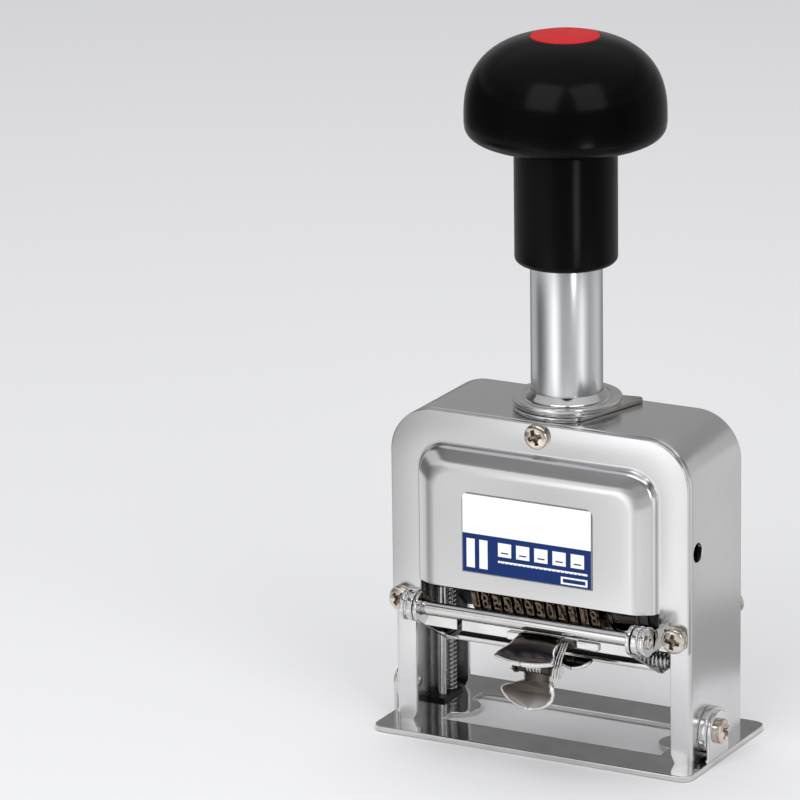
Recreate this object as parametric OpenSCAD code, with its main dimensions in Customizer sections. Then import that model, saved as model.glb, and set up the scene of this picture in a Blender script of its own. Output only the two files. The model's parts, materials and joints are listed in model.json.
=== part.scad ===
// Desk numbering machine: a handle pushes twelve number wheels down through an arched frame
// while the ink pad swings out of their way on the rod across the front.
// Origin: the print point on the surface below the plunger's axis.  +Z up, front towards -Y.

/* [Frame] */
// Width over the two legs
frame_w = 90; // [86:1:110]
// Depth from front to rear edge
frame_d = 32; // [31:1:36]
// Height of the arch above the surface
frame_h = 92.4; // [92:0.2:100]
// Radius of the arch's outer corners
frame_r = 13; // [9:0.5:15]
// Thickness of the frame's sheet
sheet = 1.2; // [0.8:0.1:1.5]
// Width of the lip round both open sides
lip_w = 6.3; // [5:0.1:7]
// Chamfer at the foot of each lip
lip_chamfer = 2.4; // [1:0.1:4]
// Radius of the access hole in the right wall
side_hole_r = 2.7; // [1:0.1:4]
// Height of the access hole
side_hole_z = 60.9; // [55:0.1:75]
// Access hole in front of the plunger's axis
side_hole_y = -11.8; // [-12:0.1:-8]

/* [Base plate] */
// How far the plate stands out past each leg
base_side = 3.5; // [3.3:0.1:10]
// Depth of the plate
base_d = 50; // [46:1:60]
// Thickness of the plate
base_t = 1.6; // [1:0.1:2]
// Radius of the plate's corners
base_r = 3; // [1:0.5:6]
// From a leg's outer face to the corners of the print window
window_in = 11.5; // [10:0.5:13]
// Front edge of the print window
window_front = -11.5; // [-14:0.5:-11]
// Rear edge of the print window
window_rear = 12; // [11:0.5:14]
// Radius of the rounded nose at each end of the window
nose_r = 6; // [3:0.5:8]
// Radius of the upturned ears
ear_r = 5.8; // [4.5:0.1:6.5]
// Height of the ears' screws above the plate
ear_z = 7.3; // [6.8:0.1:9]
// Ears' screws in front of the plunger's axis
ear_y = -5.5; // [-8:0.1:-4]
// Thickness of an ear
ear_t = 1.2; // [0.8:0.1:1.6]
// Radius of the spacer between leg and ear
spacer_r = 6.6; // [5:0.1:7]

/* [Covers] */
// Thickness of the front cover's border
cover_t = 1.6; // [1:0.1:2]
// Width of the border
border_w = 8.9; // [8:0.1:10]
// Bottom of the cover's side lugs
cover_bottom = 33.6; // [33:0.1:34.5]
// Lower edge of the raised dome
dome_bottom = 44.1; // [43.5:0.1:48]
// Radius of the dome's outline
dome_r = 8.6; // [6:0.1:10]
// Height of the steep shoulder
shoulder_h = 1.8; // [1:0.1:2.5]
// Height of the sloped bevel above the shoulder
bevel_h = 2.6; // [1.5:0.1:3.2]
// Width of the sloped bevel
bevel_w = 5; // [3:0.1:6]
// Wall of the dome
dome_t = 1; // [0.6:0.1:1.2]
// Thickness of the rear cover
rear_t = 1.2; // [0.8:0.1:1.4]
// Width of the label
label_w = 39.4; // [30:0.1:44]
// Height of the label
label_h = 22.6; // [15:0.1:24]
// Label's centre to the left of the middle
label_x = -1.2; // [-4:0.1:4]
// Lower edge of the label
label_z = 49.3; // [47:0.1:52]
// Thickness of the label
label_t = 0.3; // [0.2:0.1:0.5]

/* [Hinge rod] */
// Radius of the rod
rod_r = 1.75; // [1.2:0.05:2]
// Rod in front of the plunger's axis
rod_y = -25; // [-27:0.1:-24.8]
// Height of the rod
rod_z = 38.35; // [38.2:0.05:39]
// Radius of the rings round the rod
ring_r = 4.2; // [3.2:0.1:4.4]
// From a leg's outer face to the outer face of the rod's bracket
bracket_in = 8; // [7.6:0.1:8.4]
// Thickness of a bracket's sheet
bracket_t = 1.1; // [0.8:0.1:1.4]

/* [Screws] */
// Radius of a pan head
head_r = 3.5; // [2.8:0.1:3.8]
// Height of a pan head
head_h = 2.2; // [1.5:0.1:2.4]
// Radius of a screw's shank
shank_r = 1.5; // [1:0.1:1.7]
// Height of the cover's two lower screws
low_screw_z = 37.7; // [37.2:0.1:38.6]
// From a leg's outer face to the cover's lower screw
low_screw_in = 3.5; // [3:0.1:4]
// Top screw below the top of the frame
top_screw_drop = 3.3; // [3.2:0.1:3.6]
// Rear top screw below the top of the frame, clear of the lever's point
rear_screw_drop = 4.2; // [4.1:0.1:4.6]

/* [Plunger] */
// Travel of the plunger
travel = 30; // [20:1:30]
// Radius of the tube
tube_r = 9.8; // [9:0.1:10.5]
// Wall of the tube
tube_wall = 1.6; // [1:0.1:2]
// Top of the tube inside the handle
tube_top = 178; // [170:1:182]
// Radius of the collar round the tube
collar_r = 15; // [14:0.1:15.4]
// Height of the collar above the lever plate
collar_h = 2.4; // [1.8:0.1:4]
// Height of the collar's cone
cone_h = 1.8; // [1:0.1:3]
// Radius at the foot of the cone
cone_r = 12.2; // [11.5:0.1:12.8]
// Radius of the bush's shoulder in the lever plate
shoulder_r = 12.2; // [11.8:0.1:12.8]
// Radius of the bush's neck in the frame
neck_r = 11.2; // [11:0.1:11.5]

/* [Handle] */
// Radius of the handle's mushroom
knob_r = 27.3; // [24:0.1:32]
// Height of the mushroom's widest place
knob_mid = 173.8; // [171:0.1:176]
// Rise of the upper curve from there
knob_rise = 22.5; // [20:0.1:28]
// Drop of the lower curve
knob_drop = 8.2; // [7:0.1:11]
// Radius of the handle's sleeve
sleeve_r = 14; // [13:0.1:16]
// Lower end of the sleeve
sleeve_bottom = 133.4; // [131:0.1:140]
// Radius of the inset disc
disc_r = 9.4; // [8:0.1:12]
// Thickness of the inset disc
disc_t = 1.2; // [0.8:0.1:2]

/* [Lock lever] */
// Thickness of the lever plate
lever_t = 1.2; // [0.8:0.1:1.4]
// Radius of the lever plate's ring
lever_r = 14.8; // [14:0.1:15]
// Reach of the lever's point
lever_reach = 21; // [18:0.5:24]
// Direction of the lever's point from +X
lever_angle = 40; // [30:1:45]

/* [Type wheels] */
// Number of wheels
wheel_count = 12; // [12]
// Distance from wheel to wheel
wheel_pitch = 3.325; // [3.1:0.025:3.4]
// From the yoke's left side plate to the first wheel
wheels_in = 3.4; // [3:0.1:3.6]
// Height of the wheels' shaft
shaft_z = 40.3; // [40.2:0.05:41]
// Radius of the shaft
shaft_r = 2.5; // [1.5:0.1:3]
// Distance from the shaft to a wheel's flats
flat_r = 9.7; // [8.8:0.05:9.7]
// Height of the type above the flats
type_relief = 0.6; // [0.3:0.05:0.6]
// Height of a digit
digit_h = 4.8; // [3.5:0.1:4.8]
// Width of a digit
digit_w = 2.1; // [1.5:0.1:2.2]
// Width of a wheel's type ring
ring_w = 2.35; // [2.2:0.05:2.4]
// Width of a wheel's ratchet
ratchet_w = 0.8; // [0.5:0.05:0.85]
// Tip radius of the ratchet
ratchet_r = 8.6; // [7:0.1:9]
// Depth of a ratchet tooth
tooth_h = 1.6; // [0.8:0.1:2.5]

/* [Carriage] */
// From a leg's outer face to the yoke's side
yoke_in = 15; // [14.8:0.1:15.2]
// Thickness of the yoke's sheet
yoke_t = 1.6; // [1.2:0.1:1.8]
// Half depth of the yoke's side plates
cheek_y = 8; // [7:0.1:9]
// Half depth of the yoke's top
yoke_y = 10; // [9:0.1:11]
// Height of the wings' underside
wing_z = 58; // [56:0.5:60]
// Thickness of the wings
wing_t = 3; // [2:0.1:4]
// Radius of the end drum beside the wheels
drum_r = 9.2; // [7:0.1:9.6]
// Side of the square tie bars
bar_s = 3; // [2.4:0.1:3]
// Radius of the circle inside the pawl bar
pawl_r = 11.7; // [11.6:0.1:12.2]
// Lean of the pawl bar to the front at rest
pawl_lean = 20; // [16:1:22]

/* [Leg guides] */
// From a leg's outer face to its guide rods
guide_in = 3.8; // [3.6:0.1:4.2]
// Guide rods behind the plunger's axis
guide_y = 3.5; // [3:0.1:4]
// Radius of a guide rod
guide_r = 1.25; // [0.8:0.05:1.4]
// Spring rods behind the plunger's axis
spring_y = 8.8; // [8.4:0.1:9]
// Radius of a spring rod
spring_rod_r = 0.8; // [0.5:0.05:0.85]
// Mean radius of a leg spring
spring_r = 1.45; // [1.4:0.05:1.6]
// Radius of the leg springs' wire
spring_wire = 0.27; // [0.2:0.01:0.3]
// Turns of a leg spring
spring_turns = 30; // [10:1:30]

/* [Ink pad] */
// From the cradle's arms to the tray
tray_in = 1.6; // [1.4:0.1:4]
// Front edge of the tray
tray_front = -9.5; // [-10:0.1:-8]
// Rear edge of the tray
tray_rear = 7.5; // [5:0.1:7.5]
// Top of the ink pad
pad_top = 29.2; // [28.8:0.1:29.3]
// Thickness of the ink pad
pad_t = 3.8; // [3:0.1:3.9]
// Height of the tray's walls
tray_h = 1.3; // [1.2:0.1:2.8]
// Wall of the tray
tray_t = 0.8; // [0.5:0.1:1]
// Thickness of the cradle's sheet
cradle_t = 0.9; // [0.6:0.1:1]
// From the yoke's side to the cradle's arms
cradle_out = 1.6; // [1.5:0.1:1.8]
// Height of the strip under the rod
strip_h = 3.1; // [3:0.1:5]
// Left side of the slot in the strip
slot_x = -21.6; // [-26:0.2:-16]
// Width of the slot in the strip
slot_w = 1.4; // [1:0.1:3]
// Swing of the cradle per millimetre of travel
swing_per_mm = 3; // [2:0.1:3]

/* [Thumb tabs] */
// Middle of the tabs to the right of the axis
tab_x = 4.4; // [-8:0.1:4.6]
// Half width of the upper leaf
leaf_x = 8.9; // [8:0.1:13]
// Length of the upper leaf
leaf_l = 13.8; // [7:0.1:15]
// Slope of the upper leaf
leaf_slope = 22; // [10:1:30]
// Thickness of the tabs
tab_t = 0.9; // [0.6:0.1:1.2]
// Half width of the lower tab
thumb_x = 7.6; // [6.5:0.1:10]
// Length of the lower tab
thumb_l = 12.2; // [10:0.1:15]
// Slope of the lower tab
thumb_slope = 64; // [55:1:75]
// Height of the tabs' pin
pin_z = 27.6; // [27:0.1:28.4]
// Tabs' pin in front of the plunger's axis
pin_y = -28; // [-29:0.1:-27.6]
// Radius of the tabs' pin
pin_r = 1.1; // [0.8:0.05:1.3]

/* [Clearances] */
// Radial clearance of turning and sliding fits
run_gap = 0.05; // [0.02:0.01:0.09]
// Clearance between fixed pieces
fit_gap = 0.05; // [0.02:0.01:0.1]
// Clearance between flat faces that pass each other
side_gap = 0.2; // [0.1:0.05:0.2]
// Clearance between moving pieces
move_gap = 0.3; // [0.3:0.05:0.4]

/* [Hidden] */
$fn = 64;
WHEELS = ["type_wheel_01", "type_wheel_02", "type_wheel_03", "type_wheel_04", "type_wheel_05",
          "type_wheel_06", "type_wheel_07", "type_wheel_08", "type_wheel_09", "type_wheel_10",
          "type_wheel_11", "type_wheel_12"];

cut = 1;                                        // how far a cutter runs past a face
top_in = frame_h - sheet;                       // underside of the frame's top
front = -frame_d / 2;
rear = frame_d / 2;
front_face = front - cover_t;                   // face of the front cover's border
base_w = frame_w + 2 * base_side;
window_x = frame_w / 2 - window_in;             // half width of the print window at its corners
bracket_x = frame_w / 2 - bracket_in;           // outer half length of the rod's brackets
low_screw_x = frame_w / 2 - low_screw_in;
guide_x = frame_w / 2 - guide_in;
yoke_x = frame_w / 2 - yoke_in;                 // outer half width of the yoke
cradle_x = yoke_x + cradle_out;                 // inner half width of the cradle's arms
tray_x = cradle_x - tray_in;                    // half width of the tray
inner_x = frame_w / 2 - border_w;               // half width of the dome's outline
dome_top = frame_h - border_w;
dome_face = front_face - shoulder_h - bevel_h;  // flat face of the dome
top_screw_z = frame_h - top_screw_drop;
rear_screw_z = frame_h - rear_screw_drop;
tab_face = front_face - bracket_t;              // face of the brackets' tabs
hole_r = shank_r + fit_gap;
ear_in = base_w / 2 - ear_t;                    // inner face of an ear
ear_height = base_t + ear_z;

thin_gap = 0.1;                                 // between the lever plate and its neighbours
lever_z = frame_h + thin_gap;                   // underside of the lever plate
collar_z = lever_z + lever_t + thin_gap;        // underside of the collar
collar_top = collar_z + collar_h;
yoke_drop = 6.9;                                // from the frame's top to the yoke at rest
yoke_top = top_in - yoke_drop;                  // top face of the yoke
bush_bottom = yoke_top + move_gap;
bush_nut_h = 4;
bush_nut_r = neck_r + 2.6;
bush_nut_flat = rear - sheet - rear_t - side_gap;       // from the axis to the nut's two flats
nut_slot = 3;                                   // width of the bush nut's spanner slots
nut_slot_h = 1.2;                               // depth of the spanner slots
plug_h = 14;                                    // length of the tube's plugs
bolt_r = 3;
bolt_head = 3;                                  // height of the bolt's head

type_r = flat_r + type_relief;
wheels_left = -(yoke_x - yoke_t - wheels_in);
sweep_r = sqrt(pow(type_r, 2) + pow(digit_h / 2, 2));   // reach of a turning wheel's corners
wheels_right = wheels_left + wheel_count * wheel_pitch;
arm_t = 1.2;                                    // thickness of the pawl frame's arms
pawl_bar_h = 2.6;
pawl_bar_w = 3;                                 // width of the pawl bar along the wheels' rim
pawl_arm_w = 4;
eye_wall = 2;                                   // wall round the shaft in arms and spacer
cheek_in = yoke_x - yoke_t;
clip_t = 0.8;
clip_w = 1.4;                                   // width of a clip's rim round the shaft
groove = 0.6;                                   // depth of the clips' grooves
shaft_end = 1.2;                                // how far the shaft stands out of the yoke
shaft_x = yoke_x + shaft_end;                   // half length of the wheels' shaft
tie_rise = 16.2;                                // from the shaft to the tie bars
tie_z = shaft_z + tie_rise;                     // underside of the tie bars
tie_y = cheek_y - 0.5;                          // outer face of the tie bars
wing_gap = 0.8;                                 // from a wing's end to the leg's wall
wing_end = frame_w / 2 - sheet - wing_gap;
wing_front = 0.8;                               // front edge of the wings
wing_d = 10.9;                                  // depth of the wings
light_hole_r = 4.5;                             // holes in the yoke's side plates
light_hole_z = 14;                              // their height above the wings' underside
drum_step = 0.6;                                // height of the end drum's two collars
leaf_t = 0.4;                                   // thickness of a detent leaf
leaf_w = 1.8;                                   // width of a detent leaf

foot_t = 1;
foot_front = 0.5;                               // front edge of the foot blocks
foot_d = 11;                                    // depth of the foot blocks
foot_z = base_t + foot_t;
rod_over = 5;                                   // how far the leg's rods pass the wings
rod_top = wing_z + wing_t + rod_over;
screw_over = 0.4;                               // how far the ears' screws pass the wall
bracket_half = head_r - 0.5;                    // half height of the rod brackets' arms
spring_l = wing_z - foot_z;

tray_bottom = pad_top - pad_t - tray_t;
floor_z = tray_bottom - cradle_t;               // underside of the cradle's floor
arm_out = cradle_x + 1.2;
strip_top = rod_z - rod_r - 0.6;
strip_y = rod_y + 0.8;                          // front face of the strip
ear_foot = 1.4;                                 // from the strip to the middle of an ear's root
ear_foot_r = 1.3;
ear_eye_r = 2.4;                                // radius of the ears round the pin
pin_ear_x = 5.7;                                // half distance of the tab bracket's ears
flange_x = pin_ear_x + 4.5;                     // half width of the upper tab's flange
root_x = pin_ear_x + 0.6;                       // half width of the leaf's root
leaf_r = 21;                                    // radius of the leaf's front edge
lobe_x = pin_ear_x + 4.5;                       // middle of the side lobe from the tabs' middle
lobe_r = 4.6;                                   // radius of the side lobe
lobe_y = strip_y + 1.1;                         // rear edge of the side lobe
lobe_z = 30.1;
neck_x = 4.4;                                   // half width of the lower tab's neck
neck_l = 4;                                     // length of the neck
flare_l = 7.5;                                  // from the pin to the lower tab's widest place
curl_x = 3.7;                                   // middle of the lower tab's curls
curl_w = 2.4;                                   // width of a curl
curl_r = 2;                                     // radius of a curl
coil_slot_x = 2.6;                              // half width of the slot for the spring
coil_slot_l = 3;                                // length of that slot
stop_x = 15;                                    // left side of the stop plate on the strip
stop_w = 6.8;
stop_t = 0.6;
stud_y = -14;
stud_z = 29.7;
stud_r = 1.2;
stud_len = 4.8;

// ---------------------------------------------------------------- helpers

// Extrudes an outline drawn in the XZ plane backwards from y0
module upright(y0, depth)
    translate([0, y0 + depth, 0]) rotate([90, 0, 0]) linear_extrude(depth) children();

// Extrudes an outline drawn as (Y, Z) to the right from x0
module sideways(x0, width)
    translate([x0, 0, 0]) rotate([90, 0, 90]) linear_extrude(width) children();

// Round bar along X
module bar_x(r, x0, x1, y, z)
    translate([x0, y, z]) rotate([0, 90, 0]) cylinder(r = r, h = x1 - x0);

// Round bar along Y
module bar_y(r, x, y0, y1, z)
    translate([x, y1, z]) rotate([90, 0, 0]) cylinder(r = r, h = y1 - y0);

module mirrored() {
    children();
    mirror([1, 0, 0]) children();
}

// Upright rectangle with two round top corners
module arch(half, top, r, bottom) {
    translate([-half, bottom]) square([2 * half, top - r - bottom]);
    translate([r - half, bottom]) square([2 * (half - r), top - bottom]);
    for (s = [-1, 1])
        translate([s * (half - r), top - r]) circle(r = r);
}

// Rectangle with round corners, centred
module round_rect(w, d, r) {
    square([w - 2 * r, d], center = true);
    square([w, d - 2 * r], center = true);
    for (x = [-1, 1], y = [-1, 1])
        translate([x * (w / 2 - r), y * (d / 2 - r)]) circle(r = r);
}

// Link between two circles of radius ra and rb: the circles and the quadrilateral of their
// outer tangent points
module link(a, b, ra, rb) {
    d = b - a;
    turn = atan2(d[1], d[0]);
    lean = acos((ra - rb) / norm(d));
    translate(a) circle(r = ra);
    translate(b) circle(r = rb);
    polygon([for (p = [[a, ra, 1], [b, rb, 1], [b, rb, -1], [a, ra, -1]])
        p[0] + p[1] * [cos(turn + p[2] * lean), sin(turn + p[2] * lean)]]);
}

// Pan head screw that points along +Z from its head's seat, with its head below the seat
module pan_screw(length) {
    rim = 0.4 * head_h;
    difference() {
        rotate_extrude() polygon(concat(
            [[0, length], [0, -head_h]],
            [for (a = [15:15:90])
                [head_r * sin(a), -rim - (head_h - rim) * cos(a)]],
            [[head_r, 0], [shank_r, 0], [shank_r, length]]));
        for (a = [0, 90])
            rotate(a) translate([0, 0, -head_h]) cube([head_r, 0.8, 1.8], center = true);
    }
}

// Wire along a path.  Each step holds a centre and the direction of its ring's first corner.
module wire(path, r) {
    sides = 6;
    last = len(path) - 1;
    corners = [for (i = [0:last])
        let (ahead = path[min(i + 1, last)][0] - path[max(i - 1, 0)][0],
             out = path[i][1],
             side = cross(ahead / norm(ahead), out))
        for (k = [0:sides - 1])
            path[i][0] + r * (cos(60 * k) * out + sin(60 * k) * side)];
    walls = [for (i = [0:last - 1], k = [0:sides - 1])
        let (a = i * sides + k, b = i * sides + (k + 1) % sides)
        each [[a, b, b + sides], [a, b + sides, a + sides]]];
    ends = [for (k = [1:sides - 2])
        each [[0, k + 1, k], [last * sides, last * sides + k, last * sides + k + 1]]];
    polyhedron(points = corners, faces = concat(walls, ends), convexity = 10);
}

// Points of a coil about Z with straight ends
function coil(r, turns, z0, z1, lead) =
    let (n = 8, steps = turns * n, rise = (z1 - z0 - 2 * lead) / steps,
         edge = [cos(360 * turns), sin(360 * turns), 0])
    concat([[[r, 0, z0], [1, 0, 0]]],
           [for (i = [0:steps])
               let (a = 360 * i / n)
               [[r * cos(a), r * sin(a), z0 + lead + rise * i], [cos(a), sin(a), 0]]],
           [[r * edge + [0, 0, z1], edge]]);

// Least distance between the surfaces of neighbouring turns of a coil's points
function coil_gap(path, wire_r) =
    min([for (i = [1:len(path) - 10])
        norm(path[i + 8][0] - path[i][0])]) - 2 * wire_r;

// ---------------------------------------------------------------- frame

module outer_frame() color("gainsboro")
    difference() {
        upright(front, frame_d) arch(frame_w / 2, frame_h, frame_r, base_t);
        upright(front + sheet, frame_d - 2 * sheet)
            arch(frame_w / 2 - sheet, top_in, frame_r - sheet, base_t - cut);
        upright(front - cut, frame_d + 2 * cut)
            arch(frame_w / 2 - lip_w, frame_h - lip_w, frame_r - lip_w, base_t - cut);
        upright(front - cut, frame_d + 2 * cut)
            mirrored() polygon([[frame_w / 2 - lip_w - cut, base_t - cut],
                                [frame_w / 2 - lip_w + lip_chamfer + cut, base_t - cut],
                                [frame_w / 2 - lip_w - cut, base_t + lip_chamfer * 2 + 2 * cut]]);
        translate([0, 0, top_in - cut]) cylinder(r = neck_r + fit_gap, h = sheet + 2 * cut);
        bar_y(hole_r, 0, front - cut, front + sheet + cut, top_screw_z);
        bar_y(hole_r, 0, rear - sheet - cut, rear + cut, rear_screw_z);
        for (y = [front, rear - sheet], s = [-1, 1])
            bar_y(hole_r, s * low_screw_x, y - cut, y + sheet + cut, low_screw_z);
        mirrored() bar_x(hole_r, frame_w / 2 - sheet - cut, frame_w / 2 + cut, ear_y, ear_height);
        bar_x(side_hole_r, frame_w / 2 - sheet - cut, frame_w / 2 + cut, side_hole_y, side_hole_z);
    }

module front_cover() color("silver")
    difference() {
        union() {
            difference() {
                upright(front_face, cover_t) arch(frame_w / 2, frame_h, frame_r, cover_bottom);
                upright(front_face - cut, cover_t + 2 * cut)
                    arch(inner_x, dome_top, dome_r, cover_bottom - cut);
            }
            upright(front_face - shoulder_h, shoulder_h + cover_t)
                difference() {
                    arch(inner_x, dome_top, dome_r, dome_bottom);
                    arch(inner_x - dome_t, dome_top - dome_t, dome_r - dome_t, dome_bottom - cut);
                }
            difference() {
                hull() {
                    upright(front_face - shoulder_h - 0.01, 0.01)
                        arch(inner_x, dome_top, dome_r, dome_bottom, $fn = 32);
                    upright(dome_face, 0.01)
                        arch(inner_x - bevel_w, dome_top - bevel_w, dome_r - bevel_w / 2,
                             dome_bottom, $fn = 32);
                }
                hull() {
                    upright(front_face - shoulder_h, cut)
                        arch(inner_x - dome_t, dome_top - dome_t, dome_r - dome_t,
                             dome_bottom - cut, $fn = 32);
                    upright(dome_face + dome_t, 0.01)
                        arch(inner_x - bevel_w - dome_t / 2, dome_top - bevel_w - dome_t / 2,
                             dome_r - bevel_w / 2 - dome_t / 2, dome_bottom - cut, $fn = 32);
                }
            }
        }
        bar_y(hole_r, 0, front_face - cut, front + cut, top_screw_z);
        for (s = [-1, 1])
            bar_y(hole_r, s * low_screw_x, front_face - cut, front + cut, low_screw_z);
    }

module rear_cover() color("silver")
    difference() {
        upright(rear - sheet - rear_t, rear_t)
            arch(frame_w / 2 - sheet - side_gap, top_in - side_gap, frame_r - sheet - side_gap,
                 cover_bottom);
        bar_y(hole_r, 0, rear - sheet - rear_t - cut, rear, rear_screw_z);
        for (s = [-1, 1])
            bar_y(hole_r, s * low_screw_x, rear - sheet - rear_t - cut, rear, low_screw_z);
    }

module label() color("white")
    upright(dome_face - label_t, label_t)
        translate([label_x, 0]) arch(label_w / 2, label_z + label_h, 2, label_z);

module front_cover_screws() color("tan") {
    translate([0, front_face, top_screw_z]) rotate([-90, 0, 0])
        pan_screw(cover_t + sheet + 0.8);
    for (s = [-1, 1])
        translate([s * low_screw_x, tab_face, low_screw_z]) rotate([-90, 0, 0])
            pan_screw(bracket_t + cover_t + sheet + 1);
}

module rear_cover_screws() color("tan")
    for (p = [[0, rear_screw_z], [-low_screw_x, low_screw_z], [low_screw_x, low_screw_z]])
        translate([p[0], rear, p[1]]) rotate([90, 0, 0]) pan_screw(sheet + rear_t);

module hinge_rod() color("white")
    bar_x(rod_r, -bracket_x - 0.4, bracket_x + 0.4, rod_y, rod_z);

// Bracket of the right end: tab under the screw, arm to the rod and thick ring
module rod_bracket() {
    arm_x = bracket_x - bracket_t;
    difference() {
        union() {
            sideways(arm_x, bracket_t) {
                translate([rod_y, rod_z]) circle(r = ring_r);
                translate([rod_y, low_screw_z - bracket_half])
                    square([tab_face + bracket_t - rod_y, 2 * bracket_half]);
            }
            bar_x(ring_r, arm_out + move_gap, arm_x + 0.1, rod_y, rod_z);
            upright(tab_face, bracket_t) {
                translate([arm_x, low_screw_z - bracket_half])
                    square([low_screw_x - arm_x, 2 * bracket_half]);
                translate([low_screw_x, low_screw_z]) circle(r = bracket_half);
            }
        }
        bar_x(rod_r + fit_gap, arm_out, bracket_x + cut, rod_y, rod_z);
        bar_y(hole_r, low_screw_x, tab_face - cut, front_face + cut, low_screw_z);
    }
}

module rod_bracket_right() color("silver") rod_bracket();
module rod_bracket_left() color("silver") mirror([1, 0, 0]) rod_bracket();

// ---------------------------------------------------------------- base

module window_2d() difference() {
    translate([-window_x, window_front]) square([2 * window_x, window_rear - window_front]);
    for (s = [-1, 1])
        translate([s * (window_x + 0.5), (window_front + window_rear) / 2])
            circle(r = nose_r);
}

module base_plate() color("gainsboro")
    difference() {
        union() {
            linear_extrude(base_t) difference() {
                round_rect(base_w, base_d, base_r);
                window_2d();
            }
            mirrored() sideways(ear_in, ear_t) {
                translate([ear_y, ear_height]) circle(r = ear_r);
                translate([ear_y - ear_r, base_t / 2]) square([2 * ear_r, ear_z + base_t / 2]);
            }
        }
        mirrored() bar_x(hole_r, ear_in - cut, base_w / 2 + cut, ear_y, ear_height);
    }

module base_spacers() color("silver") mirrored()
    difference() {
        bar_x(spacer_r, frame_w / 2, ear_in, ear_y, ear_height);
        bar_x(hole_r, frame_w / 2 - cut, ear_in + cut, ear_y, ear_height);
    }

module base_screws() color("tan")
    for (s = [-1, 1])
        translate([s * base_w / 2, ear_y, ear_height]) rotate([0, -90 * s, 0])
            pan_screw(base_side + sheet + screw_over);

// ---------------------------------------------------------------- top bush and lever

module top_bush() color("silver")
    rotate_extrude() polygon([
        [tube_r + run_gap, bush_bottom],
        [neck_r, bush_bottom],
        [neck_r, frame_h],
        [shoulder_r, frame_h],
        [shoulder_r, collar_z],
        [collar_r - 0.5, collar_z],
        [collar_r - 0.5, collar_z + 0.7],
        [collar_r - 0.9, collar_z + 0.8],
        [collar_r - 0.9, collar_z + 1],
        [collar_r, collar_z + 1.1],
        [collar_r, collar_top - 0.4],
        [collar_r - 0.4, collar_top],
        [cone_r + 0.4, collar_top],
        [cone_r + 0.2, collar_top - 0.3],
        [cone_r, collar_top - 0.3],
        [cone_r - 0.2, collar_top],
        [tube_r + run_gap + 0.3, collar_top + cone_h],
        [tube_r + run_gap, collar_top + cone_h]]);

module bush_nut() color("silver")
    translate([0, 0, top_in - bush_nut_h])
        difference() {
            intersection() {
                cylinder(r = bush_nut_r, h = bush_nut_h);
                translate([-2 * bush_nut_r, -bush_nut_flat, 0])
                    cube([4 * bush_nut_r, 2 * bush_nut_flat, bush_nut_h]);
            }
            translate([0, 0, -cut]) cylinder(r = neck_r + fit_gap, h = bush_nut_h + 2 * cut);
            for (a = [0, 90])
                rotate(a) cube([2 * bush_nut_r + cut, nut_slot, 2 * nut_slot_h], center = true);
        }

module lock_lever() color("dimgray")
    translate([0, 0, lever_z]) linear_extrude(lever_t)
        difference() {
            union() {
                circle(r = lever_r);
                rotate(lever_angle) polygon([[0, -lever_r + 1], [lever_reach, -1], [lever_reach, 1],
                                             [0, lever_r - 1]]);
            }
            circle(r = shoulder_r + run_gap);
        }

// ---------------------------------------------------------------- leg guides

module foot_blocks() color("dimgray") mirrored()
    difference() {
        translate([frame_w / 2 - lip_w + side_gap, foot_front, base_t])
            cube([lip_w - sheet - 2 * side_gap, foot_d, foot_t]);
        for (p = [[guide_y, guide_r], [spring_y, spring_rod_r]])
            translate([guide_x, p[0], base_t - cut])
                cylinder(r = p[1] + fit_gap, h = foot_t + 2 * cut);
    }

module guide_rods() color("silver")
    for (s = [-1, 1])
        translate([s * guide_x, guide_y, base_t]) cylinder(r = guide_r, h = rod_top - base_t);

module spring_rods() color("gray")
    for (s = [-1, 1])
        translate([s * guide_x, spring_y, base_t])
            cylinder(r = spring_rod_r, h = rod_top - base_t);

leg_coil = coil(spring_r, spring_turns, foot_z, wing_z, 2 * spring_wire);
echo(leg_spring_gap = coil_gap(leg_coil, spring_wire));

module leg_spring(s) color("lightgray")
    translate([s * guide_x, spring_y, 0]) wire(leg_coil, spring_wire);
module leg_spring_left() leg_spring(-1);
module leg_spring_right() leg_spring(1);

// ---------------------------------------------------------------- plunger and handle

module plunger_tube() color("silver")
    translate([0, 0, yoke_top]) difference() {
        cylinder(r = tube_r, h = tube_top - yoke_top);
        translate([0, 0, -cut]) cylinder(r = tube_r - tube_wall, h = tube_top + cut);
    }

module tube_plugs() color("gray")
    for (z = [yoke_top, tube_top - plug_h])
        translate([0, 0, z]) difference() {
            cylinder(r = tube_r - tube_wall - fit_gap, h = plug_h);
            translate([0, 0, -cut]) cylinder(r = bolt_r + fit_gap, h = plug_h + 2 * cut);
        }

module yoke_bolt() color("dimgray")
    translate([0, 0, yoke_top - yoke_t]) {
        cylinder(r = bolt_r, h = yoke_t + plug_h - 2);
        translate([0, 0, -bolt_head]) cylinder(r = 2 * bolt_r, h = bolt_head, $fn = 6);
    }

// Upper and lower superellipse of the mushroom
upper_power = 2.52;
lower_power = 3.45;
function knob_upper(r) =
    knob_mid + knob_rise * pow(1 - pow(r / knob_r, upper_power), 1 / upper_power);
function knob_lower(r) =
    knob_mid - knob_drop * pow(1 - pow(r / knob_r, lower_power), 1 / lower_power);

knob_top = knob_upper(disc_r + fit_gap);        // height of the handle at the disc's rim
sleeve_edge = 1.2;                              // chamfer at the sleeve's lower end
disc_proud = 0.2;                               // how far the disc stands out
recess_z = knob_top - disc_t + disc_proud;      // floor of the disc's recess
seat_drop = 3.4;                                // from that floor to the screw's seat
screw_seat = recess_z - seat_drop;

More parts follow.
